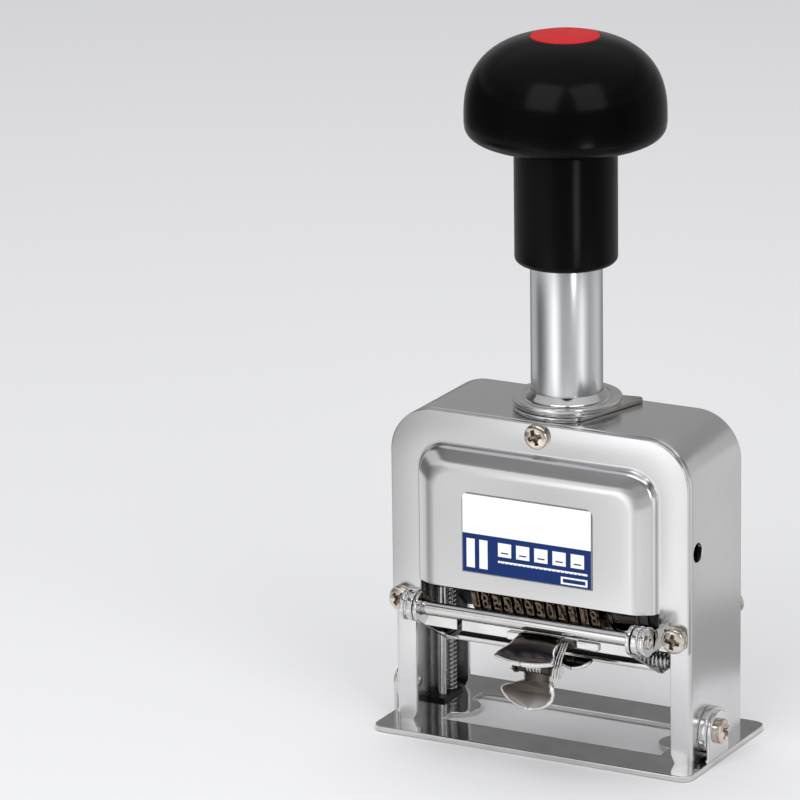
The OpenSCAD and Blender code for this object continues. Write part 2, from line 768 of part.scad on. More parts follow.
module handle_knob() color("black") {
    steps = 22;
    outer = [for (i = [0:steps]) disc_r + fit_gap
             + (knob_r - disc_r - fit_gap) * sin(90 * i / steps)];
    under = [for (i = [1:steps]) knob_r - (knob_r - sleeve_r) * (1 - cos(90 * i / steps))];
    rotate_extrude($fn = 96) polygon(concat(
        [[tube_r + fit_gap, sleeve_bottom],
         [tube_r + fit_gap, tube_top],
         [bolt_r + fit_gap, tube_top],
         [bolt_r + fit_gap, screw_seat],
         [2 * bolt_r + fit_gap, screw_seat],
         [2 * bolt_r + fit_gap, recess_z],
         [disc_r + fit_gap, recess_z]],
        [for (r = outer) [r, knob_upper(min(r, knob_r - 0.001))]],
        [for (r = under) [r, knob_lower(min(r, knob_r - 0.001))]],
        [[sleeve_r, sleeve_bottom + sleeve_edge],
         [sleeve_r - sleeve_edge, sleeve_bottom]]));
}

module handle_screw() color("dimgray")
    difference() {
        union() {
            translate([0, 0, tube_top - plug_h]) cylinder(r = bolt_r, h = screw_seat - tube_top + plug_h);
            translate([0, 0, screw_seat]) cylinder(r = 2 * bolt_r, h = bolt_head);
        }
        translate([0, 0, screw_seat + bolt_head / 3]) cylinder(r = bolt_r * 0.8, h = bolt_head, $fn = 6);
    }

module red_disc() color("red")
    translate([0, 0, recess_z]) cylinder(r = disc_r, h = disc_t);

// ---------------------------------------------------------------- carriage

module carriage_yoke() color("gray")
    difference() {
        union() {
            translate([-yoke_x, -yoke_y, yoke_top - yoke_t]) cube([2 * yoke_x, 2 * yoke_y, yoke_t]);
            mirrored() sideways(cheek_in, yoke_t) {
                translate([0, shaft_z]) circle(r = cheek_y);
                translate([-cheek_y, shaft_z])
                    square([2 * cheek_y, yoke_top - shaft_z - yoke_t / 2]);
            }
            mirrored() translate([cheek_in, wing_front, wing_z])
                cube([wing_end - cheek_in, wing_d, wing_t]);
        }
        mirrored() bar_x(shaft_r + fit_gap, cheek_in - cut, yoke_x + cut, 0, shaft_z);
        mirrored() for (s = [-1, 1])
            bar_x(bar_s / 3 + fit_gap, cheek_in - cut, yoke_x + cut, s * (tie_y - bar_s / 2),
                  tie_z + bar_s / 2);
        mirrored() sideways(cheek_in - cut, yoke_t + 2 * cut)
            translate([0, wing_z + light_hole_z]) circle(r = light_hole_r);
        mirrored() translate([guide_x, guide_y, wing_z - cut])
            cylinder(r = guide_r + run_gap, h = wing_t + 2 * cut);
        mirrored() translate([guide_x, spring_y, wing_z - cut])
            cylinder(r = spring_rod_r + move_gap, h = wing_t + 2 * cut);
        translate([0, 0, yoke_top - yoke_t - cut])
            cylinder(r = bolt_r + fit_gap, h = yoke_t + 2 * cut);
    }

module wheel_shaft() color("silver")
    difference() {
        bar_x(shaft_r, -shaft_x, shaft_x, 0, shaft_z);
        mirrored() difference() {
            bar_x(shaft_r + cut, yoke_x + side_gap / 2, yoke_x + side_gap / 2 + clip_t, 0, shaft_z);
            bar_x(shaft_r - groove, yoke_x - cut, shaft_x + cut, 0, shaft_z);
        }
    }

module shaft_clips() color("dimgray") mirrored()
    difference() {
        bar_x(shaft_r + clip_w, yoke_x + side_gap / 2, yoke_x + side_gap / 2 + clip_t, 0, shaft_z);
        bar_x(shaft_r - groove + fit_gap, yoke_x - cut, shaft_x + cut, 0, shaft_z);
        translate([yoke_x - cut, -shaft_r + clip_t, shaft_z - 2 * shaft_r])
            cube([shaft_end + 2 * cut, 2 * (shaft_r - clip_t), 2 * shaft_r]);
    }

drum_left = wheels_right + arm_t + 2 * side_gap;
drum_l = cheek_in - drum_left;
drum_lip = 0.11 * drum_l;                       // width of the collars
drum_ring = drum_left + 0.67 * drum_l;          // left side of the right collar

module end_drum() color("dimgray")
    difference() {
        union() {
            bar_x(drum_r - drum_step, drum_left, cheek_in, 0, shaft_z);
            bar_x(drum_r, drum_left, drum_left + drum_lip, 0, shaft_z);
            bar_x(drum_r, drum_ring, drum_ring + drum_lip, 0, shaft_z);
        }
        bar_x(shaft_r + fit_gap, drum_left - cut, cheek_in + cut, 0, shaft_z);
    }

module end_spacer() color("dimgray")
    difference() {
        bar_x(shaft_r + eye_wall, -cheek_in, wheels_left - arm_t - 2 * side_gap, 0, shaft_z);
        bar_x(shaft_r + fit_gap, -cheek_in - cut, wheels_left, 0, shaft_z);
    }

module tie_bars() color("gray")
    for (s = [-1, 1]) {
        y = s * (tie_y - bar_s / 2);
        translate([-cheek_in, y - bar_s / 2, tie_z]) cube([2 * cheek_in, bar_s, bar_s]);
        bar_x(bar_s / 3, -yoke_x - leaf_t, yoke_x + leaf_t, y, tie_z + bar_s / 2);
    }

// One leaf per wheel from a common strip on the rear tie bar
module detent_springs() color("lightgray") {
    reach = sweep_r + move_gap + leaf_t / 4;
    line = [[tie_y, tie_z + leaf_t / 4], [reach + 2 * leaf_t, shaft_z + tie_rise / 3],
            [reach, shaft_z + tie_rise / 16]];
    sideways(wheels_left, wheels_right - wheels_left)
        translate([tie_y, tie_z]) square([leaf_t, bar_s]);
    for (i = [0:wheel_count - 1])
        sideways(wheels_left + i * wheel_pitch + leaf_t, leaf_w)
            polygon([line[0], line[1], line[2], line[2] + [leaf_t, 0], line[1] + [leaf_t, 0],
                     line[0] + [leaf_t, 0]]);
}

// Draws in the plane of the rocking pawl arms: u along the wheel's rim, v away from the shaft
module pawl_plane(x0, width)
    translate([0, 0, shaft_z]) rotate([pawl_lean, 0, 0]) sideways(x0, width) children();

module pawl_arms() color("slategray")
    difference() {
        for (x = [wheels_left - arm_t - side_gap, wheels_right + side_gap])
            pawl_plane(x, arm_t) {
                circle(r = shaft_r + eye_wall);
                translate([-pawl_arm_w / 2, 0]) square([pawl_arm_w, pawl_r + pawl_bar_h]);
            }
        bar_x(shaft_r + run_gap, wheels_left - 2 * arm_t, wheels_right + 2 * arm_t, 0, shaft_z);
    }

module pawl_bar() color("slategray")
    pawl_plane(wheels_left - side_gap, wheels_right - wheels_left + 2 * side_gap)
        translate([-pawl_bar_w / 2, pawl_r]) square([pawl_bar_w, pawl_bar_h]);

// Hooks on the front of the pawl bar, one over each wheel's ratchet
module feed_pawls() color("silver") {
    root = pawl_bar_w / 2;
    for (i = [0:wheel_count - 1])
        pawl_plane(wheels_left + i * wheel_pitch + ring_w - 0.3, 1.2)
            polygon([[-root, pawl_r + pawl_bar_h - 0.2], [-2 * root, pawl_r + pawl_bar_h - 0.2],
                     [-2.4 * root, pawl_r + 0.5], [-root + 0.2, pawl_r - 0.6],
                     [-root + 0.4, pawl_r - 0.1], [-root, pawl_r - 0.1]]);
}

// ---------------------------------------------------------------- type wheels

module type_wheel(i) color("darkgray")
    translate([wheels_left + i * wheel_pitch, 0, shaft_z]) rotate([0, 90, 0])
        difference() {
            union() {
                rotate(18) cylinder(r = flat_r / cos(18), h = ring_w, $fn = 10);
                for (k = [0:9])
                    rotate(36 * k) translate([flat_r - 0.5, -digit_h / 2, (ring_w - digit_w) / 2])
                        cube([type_relief + 0.5, digit_h, digit_w]);
                translate([0, 0, ring_w - 0.1]) linear_extrude(ratchet_w + 0.1)
                    polygon([for (k = [0:9], t = [0, 1])
                        (ratchet_r - t * tooth_h) * [cos(36 * k + 4 * t), sin(36 * k + 4 * t)]]);
            }
            translate([0, 0, -cut]) cylinder(r = shaft_r + run_gap, h = wheel_pitch + 2 * cut);
        }

// ---------------------------------------------------------------- ink pad cradle

module cradle_side() {
    link([rod_y, rod_z], [tray_front + 1.5, floor_z + 2], ring_r, 2);
    translate([tray_front + 1.5, floor_z]) square([tray_rear - tray_front - 1.5, 3.4]);
}

module pad_cradle() color("silver")
    difference() {
        union() {
            mirrored() sideways(cradle_x, arm_out - cradle_x) cradle_side();
            translate([-arm_out, tray_front + 2, floor_z])
                cube([2 * arm_out, tray_rear - tray_front - 2, cradle_t]);
            upright(strip_y, cradle_t)
                translate([-arm_out, strip_top - strip_h]) square([2 * arm_out, strip_h]);
            bar_x(stud_r, arm_out - 0.1, arm_out + stud_len, stud_y, stud_z);
            translate([stop_x, strip_y - stop_t, strip_top - strip_h + 0.4])
                cube([stop_w, stop_t + 0.1, strip_h - 0.8]);
        }
        mirrored() bar_x(rod_r + run_gap, cradle_x - cut, arm_out + cut, rod_y, rod_z);
        translate([slot_x, strip_y - cut, strip_top - strip_h - cut])
            cube([slot_w, cradle_t + 2 * cut, strip_h + 2 * cut]);
    }

module pad_tray() color("silver")
    difference() {
        translate([-tray_x, tray_front, tray_bottom])
            cube([2 * tray_x, tray_rear - tray_front, tray_h]);
        translate([tray_t - tray_x, tray_front + tray_t, tray_bottom + tray_t])
            cube([2 * (tray_x - tray_t), tray_rear - tray_front - 2 * tray_t, tray_h]);
    }

module ink_pad() color("saddlebrown")
    translate([tray_t + side_gap - tray_x, tray_front + tray_t + side_gap, tray_bottom + tray_t])
        cube([2 * (tray_x - tray_t - side_gap),
              tray_rear - tray_front - 2 * (tray_t + side_gap),
              pad_top - tray_bottom - tray_t]);

stud_coil = coil(1.9, 4, 0.3, 4.5, 0.3);
echo(stud_spring_gap = coil_gap(stud_coil, 0.3));

module stud_spring() color("lightgray")
    translate([arm_out, stud_y, stud_z]) rotate([0, 90, 0]) wire(stud_coil, 0.3);

// ---------------------------------------------------------------- thumb tabs

// Plate that slopes down and forward from a line across the front
module sloped(y, z, slope)
    translate([tab_x, y, z]) rotate([slope, 0, 0]) mirror([0, 1, 0]) linear_extrude(tab_t)
        children();

module upper_tab() color("gray")
    difference() {
        union() {
            upright(strip_y - tab_t, tab_t)
                translate([tab_x - flange_x, strip_top - strip_h])
                    square([2 * flange_x, strip_h - 0.8]);
            sloped(strip_y - tab_t / 2, strip_top - 1.2, leaf_slope)
                intersection() {
                    translate([0, leaf_l - leaf_r]) circle(r = leaf_r);
                    polygon([[-root_x, 0], [-root_x - 0.6, leaf_l * 0.4], [-leaf_x, leaf_l * 0.8],
                             [-leaf_x, leaf_l + cut], [leaf_x, leaf_l + cut],
                             [leaf_x, leaf_l * 0.8], [root_x + 0.6, leaf_l * 0.4], [root_x, 0]]);
                }
            sloped(lobe_y, lobe_z, leaf_slope) intersection() {
                union() {
                    translate([lobe_x, 0]) circle(r = lobe_r);
                    translate([pin_ear_x, 0]) square([lobe_x - pin_ear_x, lobe_r / 2]);
                }
                translate([0, 0]) square([lobe_x + lobe_r + cut, lobe_r + cut]);
            }
            sideways(tab_x + pin_ear_x - tab_t / 2, tab_t)
                translate([pin_y + pin_r + 1, lobe_z - 0.7])
                    square([lobe_y - pin_y - pin_r - 1.2, 1.6]);
            for (s = [-1, 1])
                sideways(tab_x + s * pin_ear_x - tab_t / 2, tab_t)
                    link([strip_y - ear_foot, strip_top - strip_h + ear_foot], [pin_y, pin_z],
                         ear_foot_r, ear_eye_r);
        }
        bar_x(pin_r + fit_gap, tab_x - flange_x, tab_x + flange_x, pin_y, pin_z);
    }

module tab_pin() color("white") {
    bar_x(pin_r, tab_x - pin_ear_x - 1.2, tab_x + pin_ear_x + 1.2, pin_y, pin_z);
    translate([tab_x + pin_ear_x + tab_t / 2, pin_y, pin_z]) rotate([0, 90, 0])
        cylinder(r = 2.3, h = 1.4, $fn = 6);
    bar_x(1.9, tab_x - pin_ear_x - tab_t / 2 - 0.9, tab_x - pin_ear_x - tab_t / 2, pin_y, pin_z);
}

tab_coil = coil(1.75, 4, 0.3, 4.3, 0.3);
echo(tab_spring_gap = coil_gap(tab_coil, 0.25));

module tab_spring() color("lightgray")
    translate([tab_x - 2.3, pin_y, pin_z]) rotate([0, 90, 0]) wire(tab_coil, 0.25);

module lower_tab() color("gray")
    difference() {
        union() {
            for (s = [-1, 1])
                bar_x(curl_r, tab_x + s * curl_x - curl_w / 2, tab_x + s * curl_x + curl_w / 2,
                      pin_y, pin_z);
            sloped(pin_y, pin_z, thumb_slope)
                difference() {
                    intersection() {
                        translate([0, thumb_l - thumb_x - 1]) circle(r = thumb_x + 1);
                        polygon([[-neck_x - 0.4, 0], [-neck_x, neck_l], [-thumb_x, flare_l],
                                 [-thumb_x, thumb_l + cut], [thumb_x, thumb_l + cut],
                                 [thumb_x, flare_l], [neck_x, neck_l], [neck_x + 0.4, 0]]);
                    }
                    translate([-coil_slot_x, -cut]) square([2 * coil_slot_x, coil_slot_l + cut]);
                }
        }
        bar_x(pin_r + run_gap, tab_x - flange_x, tab_x + flange_x, pin_y, pin_z);
    }

// ---------------------------------------------------------------- output

outer_frame();
front_cover();
rear_cover();
label();
front_cover_screws();
rear_cover_screws();
hinge_rod();
rod_bracket_left();
rod_bracket_right();
base_plate();
base_spacers();
base_screws();
top_bush();
bush_nut();
foot_blocks();
guide_rods();
spring_rods();
leg_spring_left();
leg_spring_right();
lock_lever();
plunger_tube();
tube_plugs();
yoke_bolt();
handle_knob();
handle_screw();
red_disc();
carriage_yoke();
wheel_shaft();
shaft_clips();
end_drum();
end_spacer();
tie_bars();
detent_springs();
pawl_arms();
pawl_bar();
feed_pawls();
for (i = [0:wheel_count - 1])
    type_wheel(i);
pad_cradle();
pad_tray();
ink_pad();
stud_spring();
upper_tab();
tab_pin();
tab_spring();
lower_tab();
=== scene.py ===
"""Looks of a desk numbering machine: satin arch, pressed cover, push-down handle, number wheels,
swinging pad tray and base plate.

Lengths are in millimetres until a piece's mesh is filled.  The stage, and the boxes in the finishes,
are in metres.  +Z is up and the front is towards -Y.
"""
import json
import math

import bmesh
import bpy
import numpy as np
from mathutils import Matrix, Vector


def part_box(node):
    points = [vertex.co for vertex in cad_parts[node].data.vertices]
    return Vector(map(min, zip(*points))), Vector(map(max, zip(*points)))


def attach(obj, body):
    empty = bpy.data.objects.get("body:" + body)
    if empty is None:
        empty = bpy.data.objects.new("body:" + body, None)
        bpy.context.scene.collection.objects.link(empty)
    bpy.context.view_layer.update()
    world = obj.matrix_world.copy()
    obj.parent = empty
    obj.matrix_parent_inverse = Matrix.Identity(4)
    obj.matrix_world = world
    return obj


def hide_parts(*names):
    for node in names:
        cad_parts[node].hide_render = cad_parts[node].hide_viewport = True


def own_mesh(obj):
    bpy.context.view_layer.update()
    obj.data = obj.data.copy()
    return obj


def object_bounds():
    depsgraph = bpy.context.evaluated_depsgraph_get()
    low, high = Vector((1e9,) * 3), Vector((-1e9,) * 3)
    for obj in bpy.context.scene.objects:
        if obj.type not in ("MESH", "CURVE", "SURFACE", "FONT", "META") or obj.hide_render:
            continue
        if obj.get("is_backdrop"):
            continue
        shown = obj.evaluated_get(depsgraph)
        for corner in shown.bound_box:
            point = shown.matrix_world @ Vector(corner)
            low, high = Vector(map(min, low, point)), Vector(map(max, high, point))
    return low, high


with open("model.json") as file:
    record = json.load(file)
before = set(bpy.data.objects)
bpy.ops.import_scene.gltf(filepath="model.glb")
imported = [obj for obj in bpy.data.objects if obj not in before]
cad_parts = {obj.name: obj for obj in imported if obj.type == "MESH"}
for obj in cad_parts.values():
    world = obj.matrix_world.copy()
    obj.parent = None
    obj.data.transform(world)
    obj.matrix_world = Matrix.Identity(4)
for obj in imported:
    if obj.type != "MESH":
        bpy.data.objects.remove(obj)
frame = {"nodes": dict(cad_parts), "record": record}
cad_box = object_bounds()
MM = 0.001
BODY = {node: body for body, nodes in frame["record"]["behaviour"]["bodies"].items() for node in nodes}
SLOT = {part["node"]: part["material_slot"] for part in frame["record"]["subparts"]}

# ------------------------------------------------------------------ sizes of the built pieces

FRAME_W, FRAME_D, FRAME_H, FRAME_R = 90.0, 32.0, 92.4, 13.0
SHEET, LIP, FOOT_CUT = 1.2, 6.3, 1.2
LIP_BEND, FOOT_TOP = 3.5, 20.0             # where the lips start to narrow: depth and height
SIDE_HOLE, HOLE_CELL = (-11.8, 60.9, 2.7), (2.9, 3.0)
BASE_W, BASE_D, BASE_T, BASE_R = 97.0, 50.0, 1.6, 3.0
WINDOW_X, WINDOW_FRONT, WINDOW_REAR, NOSE_R = 33.5, -11.5, 12.0, 6.0
EAR_R, EAR_Y, EAR_Z, EAR_T, SPACER_R = 5.8, -5.5, 8.9, 1.2, 6.6
COVER_T, BORDER, COVER_BOTTOM, DOME_BOTTOM, DOME_R = 1.6, 8.9, 33.6, 44.1, 8.6
SHOULDER, BEVEL_H, BEVEL_W, DOME_T = 1.8, 2.6, 5.0, 1.0
FRONT = -FRAME_D / 2
COVER_FACE = FRONT - COVER_T
DOME_FACE = COVER_FACE - SHOULDER - BEVEL_H
LABEL = (-1.2, 39.4, 49.3, 22.6, 0.3)
ROD_R, ROD_Y, ROD_Z, RING_R, BRACKET_X, BRACKET_T = 1.75, -25.0, 38.35, 4.2, 37.0, 1.1
ROD_GAP = 0.06
TAB_FACE, TAB_HALF = COVER_FACE - 1.1, 3.0
TOP_SCREW_Z, REAR_SCREW_Z, LOW_SCREW_X, LOW_SCREW_Z = 89.1, 88.2, 41.5, 37.7
REAR_INSET, REAR_Y, REAR_T = 1.4, 13.6, 1.2
HEAD_R, HEAD_H, RIM_SHARE, RECESS = 3.5, 2.2, 0.42, 0.7
TUBE_R, TUBE_LOW, TUBE_TOP = 9.8, 84.3, 178.0
KNOB_R, KNOB_MID, KNOB_RISE, KNOB_DROP = 27.3, 173.8, 22.5, 8.2
UPPER_POWER, LOWER_POWER = 2.52, 3.45
SLEEVE_R, SLEEVE_LOW, SLEEVE_EDGE, DISC_R, DISC_T = 14.0, 133.4, 1.2, 9.4, 1.2
LEVER_Z, LEVER_T = 92.5, 1.2
SHAFT_Z, WHEELS_LEFT, PITCH = 40.3, -25.0, 3.325
FLAT_R, RELIEF, DIGIT_H, DIGIT_W, RING_W = 9.7, 0.6, 4.8, 2.1, 2.35
RATCHET_R, TOOTH = 8.6, 1.6
GUIDE_X, SPRING_Y, SPRING_R, SPRING_WIRE, SPRING_TURNS = 41.2, 8.8, 1.45, 0.24, 44
FOOT_Z, WING_Z = 2.6, 58.0
TRAY_X, TRAY_FRONT, TRAY_REAR, TRAY_LOW, TRAY_H = 30.0, -9.5, 7.5, 24.6, 1.3
CRADLE_X, CRADLE_T, ARM_T, FLOOR_Z = 31.6, 0.9, 1.2, 23.7
STUD_Y, STUD_Z = -14.0, 29.7
STRIP_Y, STRIP_TOP, STRIP_H, SLOT_X, SLOT_W = -24.2, 36.0, 3.1, -21.6, 1.4
STOP_X, STOP_W, STOP_T = 15.0, 6.8, 0.9
TAB_X, TAB_T, LEAF_X, LEAF_L, LEAF_SLOPE = 4.4, 0.9, 8.9, 13.6, 17.0
THUMB_X, THUMB_L, PIN_Y, PIN_Z, EAR_X = 8.1, 12.1, -28.0, 27.6, 5.7
TIP_HALF, LOBE_R, FLANGE_X, PIN_GAP = 0.7, 4.6, 10.2, 1.16

# ------------------------------------------------------------------ camera

AZIMUTH, ELEVATION, ROLL = map(math.radians, (28.51, 16.64, -0.77))
DISTANCE, FOCUS = 1667.2, 6141.89          # millimetres to the aim point, focal length in pixels
AIM = np.array([0.0, 0.0, 81.6])
AIM_PIXEL, PICTURE, SENSOR = (567.26, 445.52), 800, 36.0


def new_object(name, data):
    item = bpy.data.objects.new(name, data)
    bpy.context.scene.collection.objects.link(item)
    return item


def placed_at(u, v, w, spot):
    """Matrix whose columns are three directions and a place."""
    return Matrix([[u[i], v[i], w[i], spot[i]] for i in range(3)] + [[0, 0, 0, 1]])


def place_camera():
    """Camera on a sphere round the aim point, moved sideways so that the aim lands on its pixel."""
    back = np.array([math.sin(AZIMUTH) * math.cos(ELEVATION),
                     -math.cos(AZIMUTH) * math.cos(ELEVATION), math.sin(ELEVATION)])
    level = np.array([math.cos(AZIMUTH), math.sin(AZIMUTH), 0.0])
    above = np.cross(back, level)
    right = math.cos(ROLL) * level + math.sin(ROLL) * above
    up = -math.sin(ROLL) * level + math.cos(ROLL) * above
    beside = (AIM_PIXEL[0] - PICTURE / 2) * DISTANCE / FOCUS
    lift = -(AIM_PIXEL[1] - PICTURE / 2) * DISTANCE / FOCUS
    data = bpy.data.cameras.new("view")
    data.sensor_width, data.lens = SENSOR, FOCUS * SENSOR / PICTURE
    data.clip_start, data.clip_end = 0.1, 30.0
    camera = new_object("view", data)
    spot = AIM + DISTANCE * back - beside * right - lift * up
    camera.matrix_world = placed_at(right, up, back, spot * MM)
    bpy.context.scene.camera = camera


place_camera()

# ------------------------------------------------------------------ shader groups and materials


def feed(node, inputs):
    """Gives a node's inputs their plain values, or links them to another node's output."""
    for key, value in inputs.items():
        if isinstance(value, bpy.types.NodeSocket):
            node.id_data.links.new(value, node.inputs[key])
        else:
            node.inputs[key].default_value = value


def add_node(tree, kind, inputs=(), output=0, **settings):
    """New node with its settings and inputs; returns one of its outputs, by number or name."""
    node = tree.nodes.new("ShaderNode" + kind)
    for name, value in settings.items():
        setattr(node, name, value)
    feed(node, dict(inputs))
    return node.outputs[output]


def shader_group(name, inputs, output):
    """Empty node group; returns its tree, its inputs and its end, which takes one value."""
    tree = bpy.data.node_groups.new(name, "ShaderNodeTree")
    for label, kind, value in inputs:
        socket = tree.interface.new_socket(label, in_out="INPUT", socket_type="NodeSocket" + kind)
        socket.default_value = value
    tree.interface.new_socket(output, in_out="OUTPUT", socket_type="NodeSocketFloat")
    return tree, tree.nodes.new("NodeGroupInput").outputs, tree.nodes.new("NodeGroupOutput")


def grain_group():
    """Fine grain: noise on the object's own coordinates, stretched by the given scale per metre."""
    tree, given, end = shader_group("stretched grain", [("Scale", "Vector", (1000, 1000, 1000))], "Grain")
    where = add_node(tree, "TexCoord", output="Object")
    stretched = add_node(tree, "Mapping", {"Vector": where, "Scale": given["Scale"]})
    noise = {"Vector": stretched, "Scale": 1.0, "Detail": 3.0}
    feed(end, {"Grain": add_node(tree, "TexNoise", noise, "Fac")})
    return tree


def marks_group():
    """Handling marks: broad cloudy smears with small specks, 0 on clean metal and 1 on the worst."""
    tree, given, end = shader_group("handling marks", [("Scale", "Float", 60), ("Amount", "Float", 0.5)],
                                    "Marks")
    where = add_node(tree, "TexCoord", output="Object")
    cloudy = {"Vector": where, "Scale": given["Scale"], "Detail": 4, "Roughness": 0.6}
    broad = add_node(tree, "TexNoise", cloudy, "Fac")
    fine = add_node(tree, "TexNoise", {"Vector": where, "Scale": 1800}, "Fac")
    smears = add_node(tree, "MapRange", {"Value": broad, "From Min": 0.42, "From Max": 0.75})
    specks = add_node(tree, "MapRange", {"Value": fine, "From Min": 0.66, "From Max": 0.76})
    both = add_node(tree, "Math", {0: smears, 1: specks}, operation="MAXIMUM")
    feed(end, {"Marks": add_node(tree, "Math", {0: both, 1: given["Amount"]}, operation="MULTIPLY")})
    return tree


def inside_group():
    """1 within a box given by its centre and half sizes in metres, 0 outside, with a soft rim:
    the least of (half - |p - centre|) over the three axes, divided by the rim's width."""
    tree, given, end = shader_group("inside box", [("Centre", "Vector", (0, 0, 0)),
                                                   ("Half", "Vector", (1, 1, 1)),
                                                   ("Soft", "Float", 0.001)], "Mask")
    where = add_node(tree, "TexCoord", output="Object")
    away = add_node(tree, "VectorMath", {0: where, 1: given["Centre"]}, operation="SUBTRACT")
    away = add_node(tree, "VectorMath", {0: away}, operation="ABSOLUTE")
    room = add_node(tree, "VectorMath", {0: given["Half"], 1: away}, operation="SUBTRACT")
    x, y, z = add_node(tree, "SeparateXYZ", {0: room}).node.outputs
    least = add_node(tree, "Math", {0: x, 1: y}, operation="MINIMUM")
    least = add_node(tree, "Math", {0: least, 1: z}, operation="MINIMUM")
    mask = add_node(tree, "Math", {0: least, 1: given["Soft"]}, operation="DIVIDE", use_clamp=True)
    feed(end, {"Mask": mask})
    return tree


GRAIN, MARKS, INSIDE = grain_group(), marks_group(), inside_group()


def box_mask(tree, centre, half, soft):
    return add_node(tree, "Group", {"Centre": centre, "Half": half, "Soft": soft}, node_tree=INSIDE)


def mixed(tree, share, first, colour):
    """Colour that goes from the first, a socket or plain, to a plain colour by the share."""
    start = (*first, 1) if isinstance(first, tuple) else first
    return add_node(tree, "Mix", {0: share, 6: start, 7: (*colour, 1)}, 2, data_type="RGBA")


def finish_material(name, clean, marked, rough, scale, depth, marks, marks_scale, metallic=1.0,
                    specular=0.5, toned=None, inside=None):
    """Principled surface: the marks blend its two colours and its roughness, and the grain adds to both
    the roughness and a bump of the given depth in millimetres.  Both scales are per metre.  toned is the
    colour that the piece's own tone attribute brings in.  inside is a colour and the centre and half
    sizes of the box of the object where it shows."""
    material = bpy.data.materials.new(name)
    material.use_nodes = True
    tree = material.node_tree
    grain = add_node(tree, "Group", {"Scale": scale if isinstance(scale, tuple) else (scale,) * 3},
                     node_tree=GRAIN)
    smear = add_node(tree, "Group", {"Scale": marks_scale, "Amount": marks}, node_tree=MARKS)
    colour = mixed(tree, smear, clean, marked)
    if inside:
        colour = mixed(tree, box_mask(tree, inside[1], inside[2], 0.0008), colour, inside[0])
    if toned:
        tone = add_node(tree, "Attribute", output="Fac", attribute_name="tone")
        colour = mixed(tree, tone, colour, toned)
    dull = add_node(tree, "Math", {0: grain, 1: 0.35, 2: smear}, operation="MULTIPLY_ADD")
    bump = {"Height": grain, "Strength": 1.0, "Distance": depth * MM}
    feed(tree.nodes["Principled BSDF"], {
        "Base Color": colour, "Metallic": metallic, "Specular IOR Level": specular,
        "Roughness": add_node(tree, "MapRange", {"Value": dull, "To Min": rough[0], "To Max": rough[1]}),
        "Normal": add_node(tree, "Bump", bump, "Normal")})
    return material


def label_material():
    """White film with a thin grey edge and a navy lower half, on which plain white bars, squares and
    a ruled strip are printed.  Every mark is a box of the object: (left, right, low, high, colour)."""
    material = finish_material("printed label", (0.95, 0.955, 0.96), (0.92, 0.93, 0.94), (0.3, 0.4), 900,
                               0.001, 0.4, 90, metallic=0.0, specular=0.2)
    tree = material.node_tree
    shader = tree.nodes["Principled BSDF"]
    white, navy, grey = (0.93, 0.94, 0.95), (0.002, 0.024, 0.135), (0.2, 0.2, 0.21)
    x, width, z, height, _ = LABEL
    left, right, middle = x - width / 2, x + width / 2, z + height / 2

    def mask(x0, x1, z0, z1):
        return box_mask(tree, ((x0 + x1) / 2 * MM, 0, (z0 + z1) / 2 * MM),
                        ((x1 - x0) / 2 * MM, 1, (z1 - z0) / 2 * MM), 0.0001)

    def row(count, step, x0, x1, z0, z1, ink):
        return [(x0 + step * k, x1 + step * k, z0, z1, ink) for k in range(count)]

    boxes = [(left - 1, right + 1, z - 1, middle, navy)]
    boxes += row(2, 3.9, left + 1.4, left + 4.0, z + 1.5, middle - 1.5, white)
    boxes += row(5, 5.5, left + 11, left + 15.1, middle - 5.6, middle - 1.6, white)
    boxes += row(5, 5.5, left + 11.9, left + 14.2, middle - 4.7, middle - 4.2, navy)
    boxes += [(left + 11, right - 1.3, middle - 7.4, middle - 6.7, white)]
    boxes += row(20, 1.3, left + 11.5, left + 11.9, middle - 7.8, middle - 7.05, navy)
    boxes += [(right - 9.4, right - 1.3, z + 0.7, z + 2.9, white),
              (right - 8.8, right - 1.9, z + 1.2, z + 2.4, navy)]
    colour = shader.inputs["Base Color"].links[0].from_socket
    for *sides, ink in boxes:
        colour = mixed(tree, mask(*sides), colour, ink)
    inner = mask(left + 0.25, right - 0.25, z + 0.25, z + height - 0.25)
    edge = add_node(tree, "Math", {0: 1.0, 1: inner}, operation="SUBTRACT")
    feed(shader, {"Base Color": mixed(tree, edge, colour, grey)})
    return material


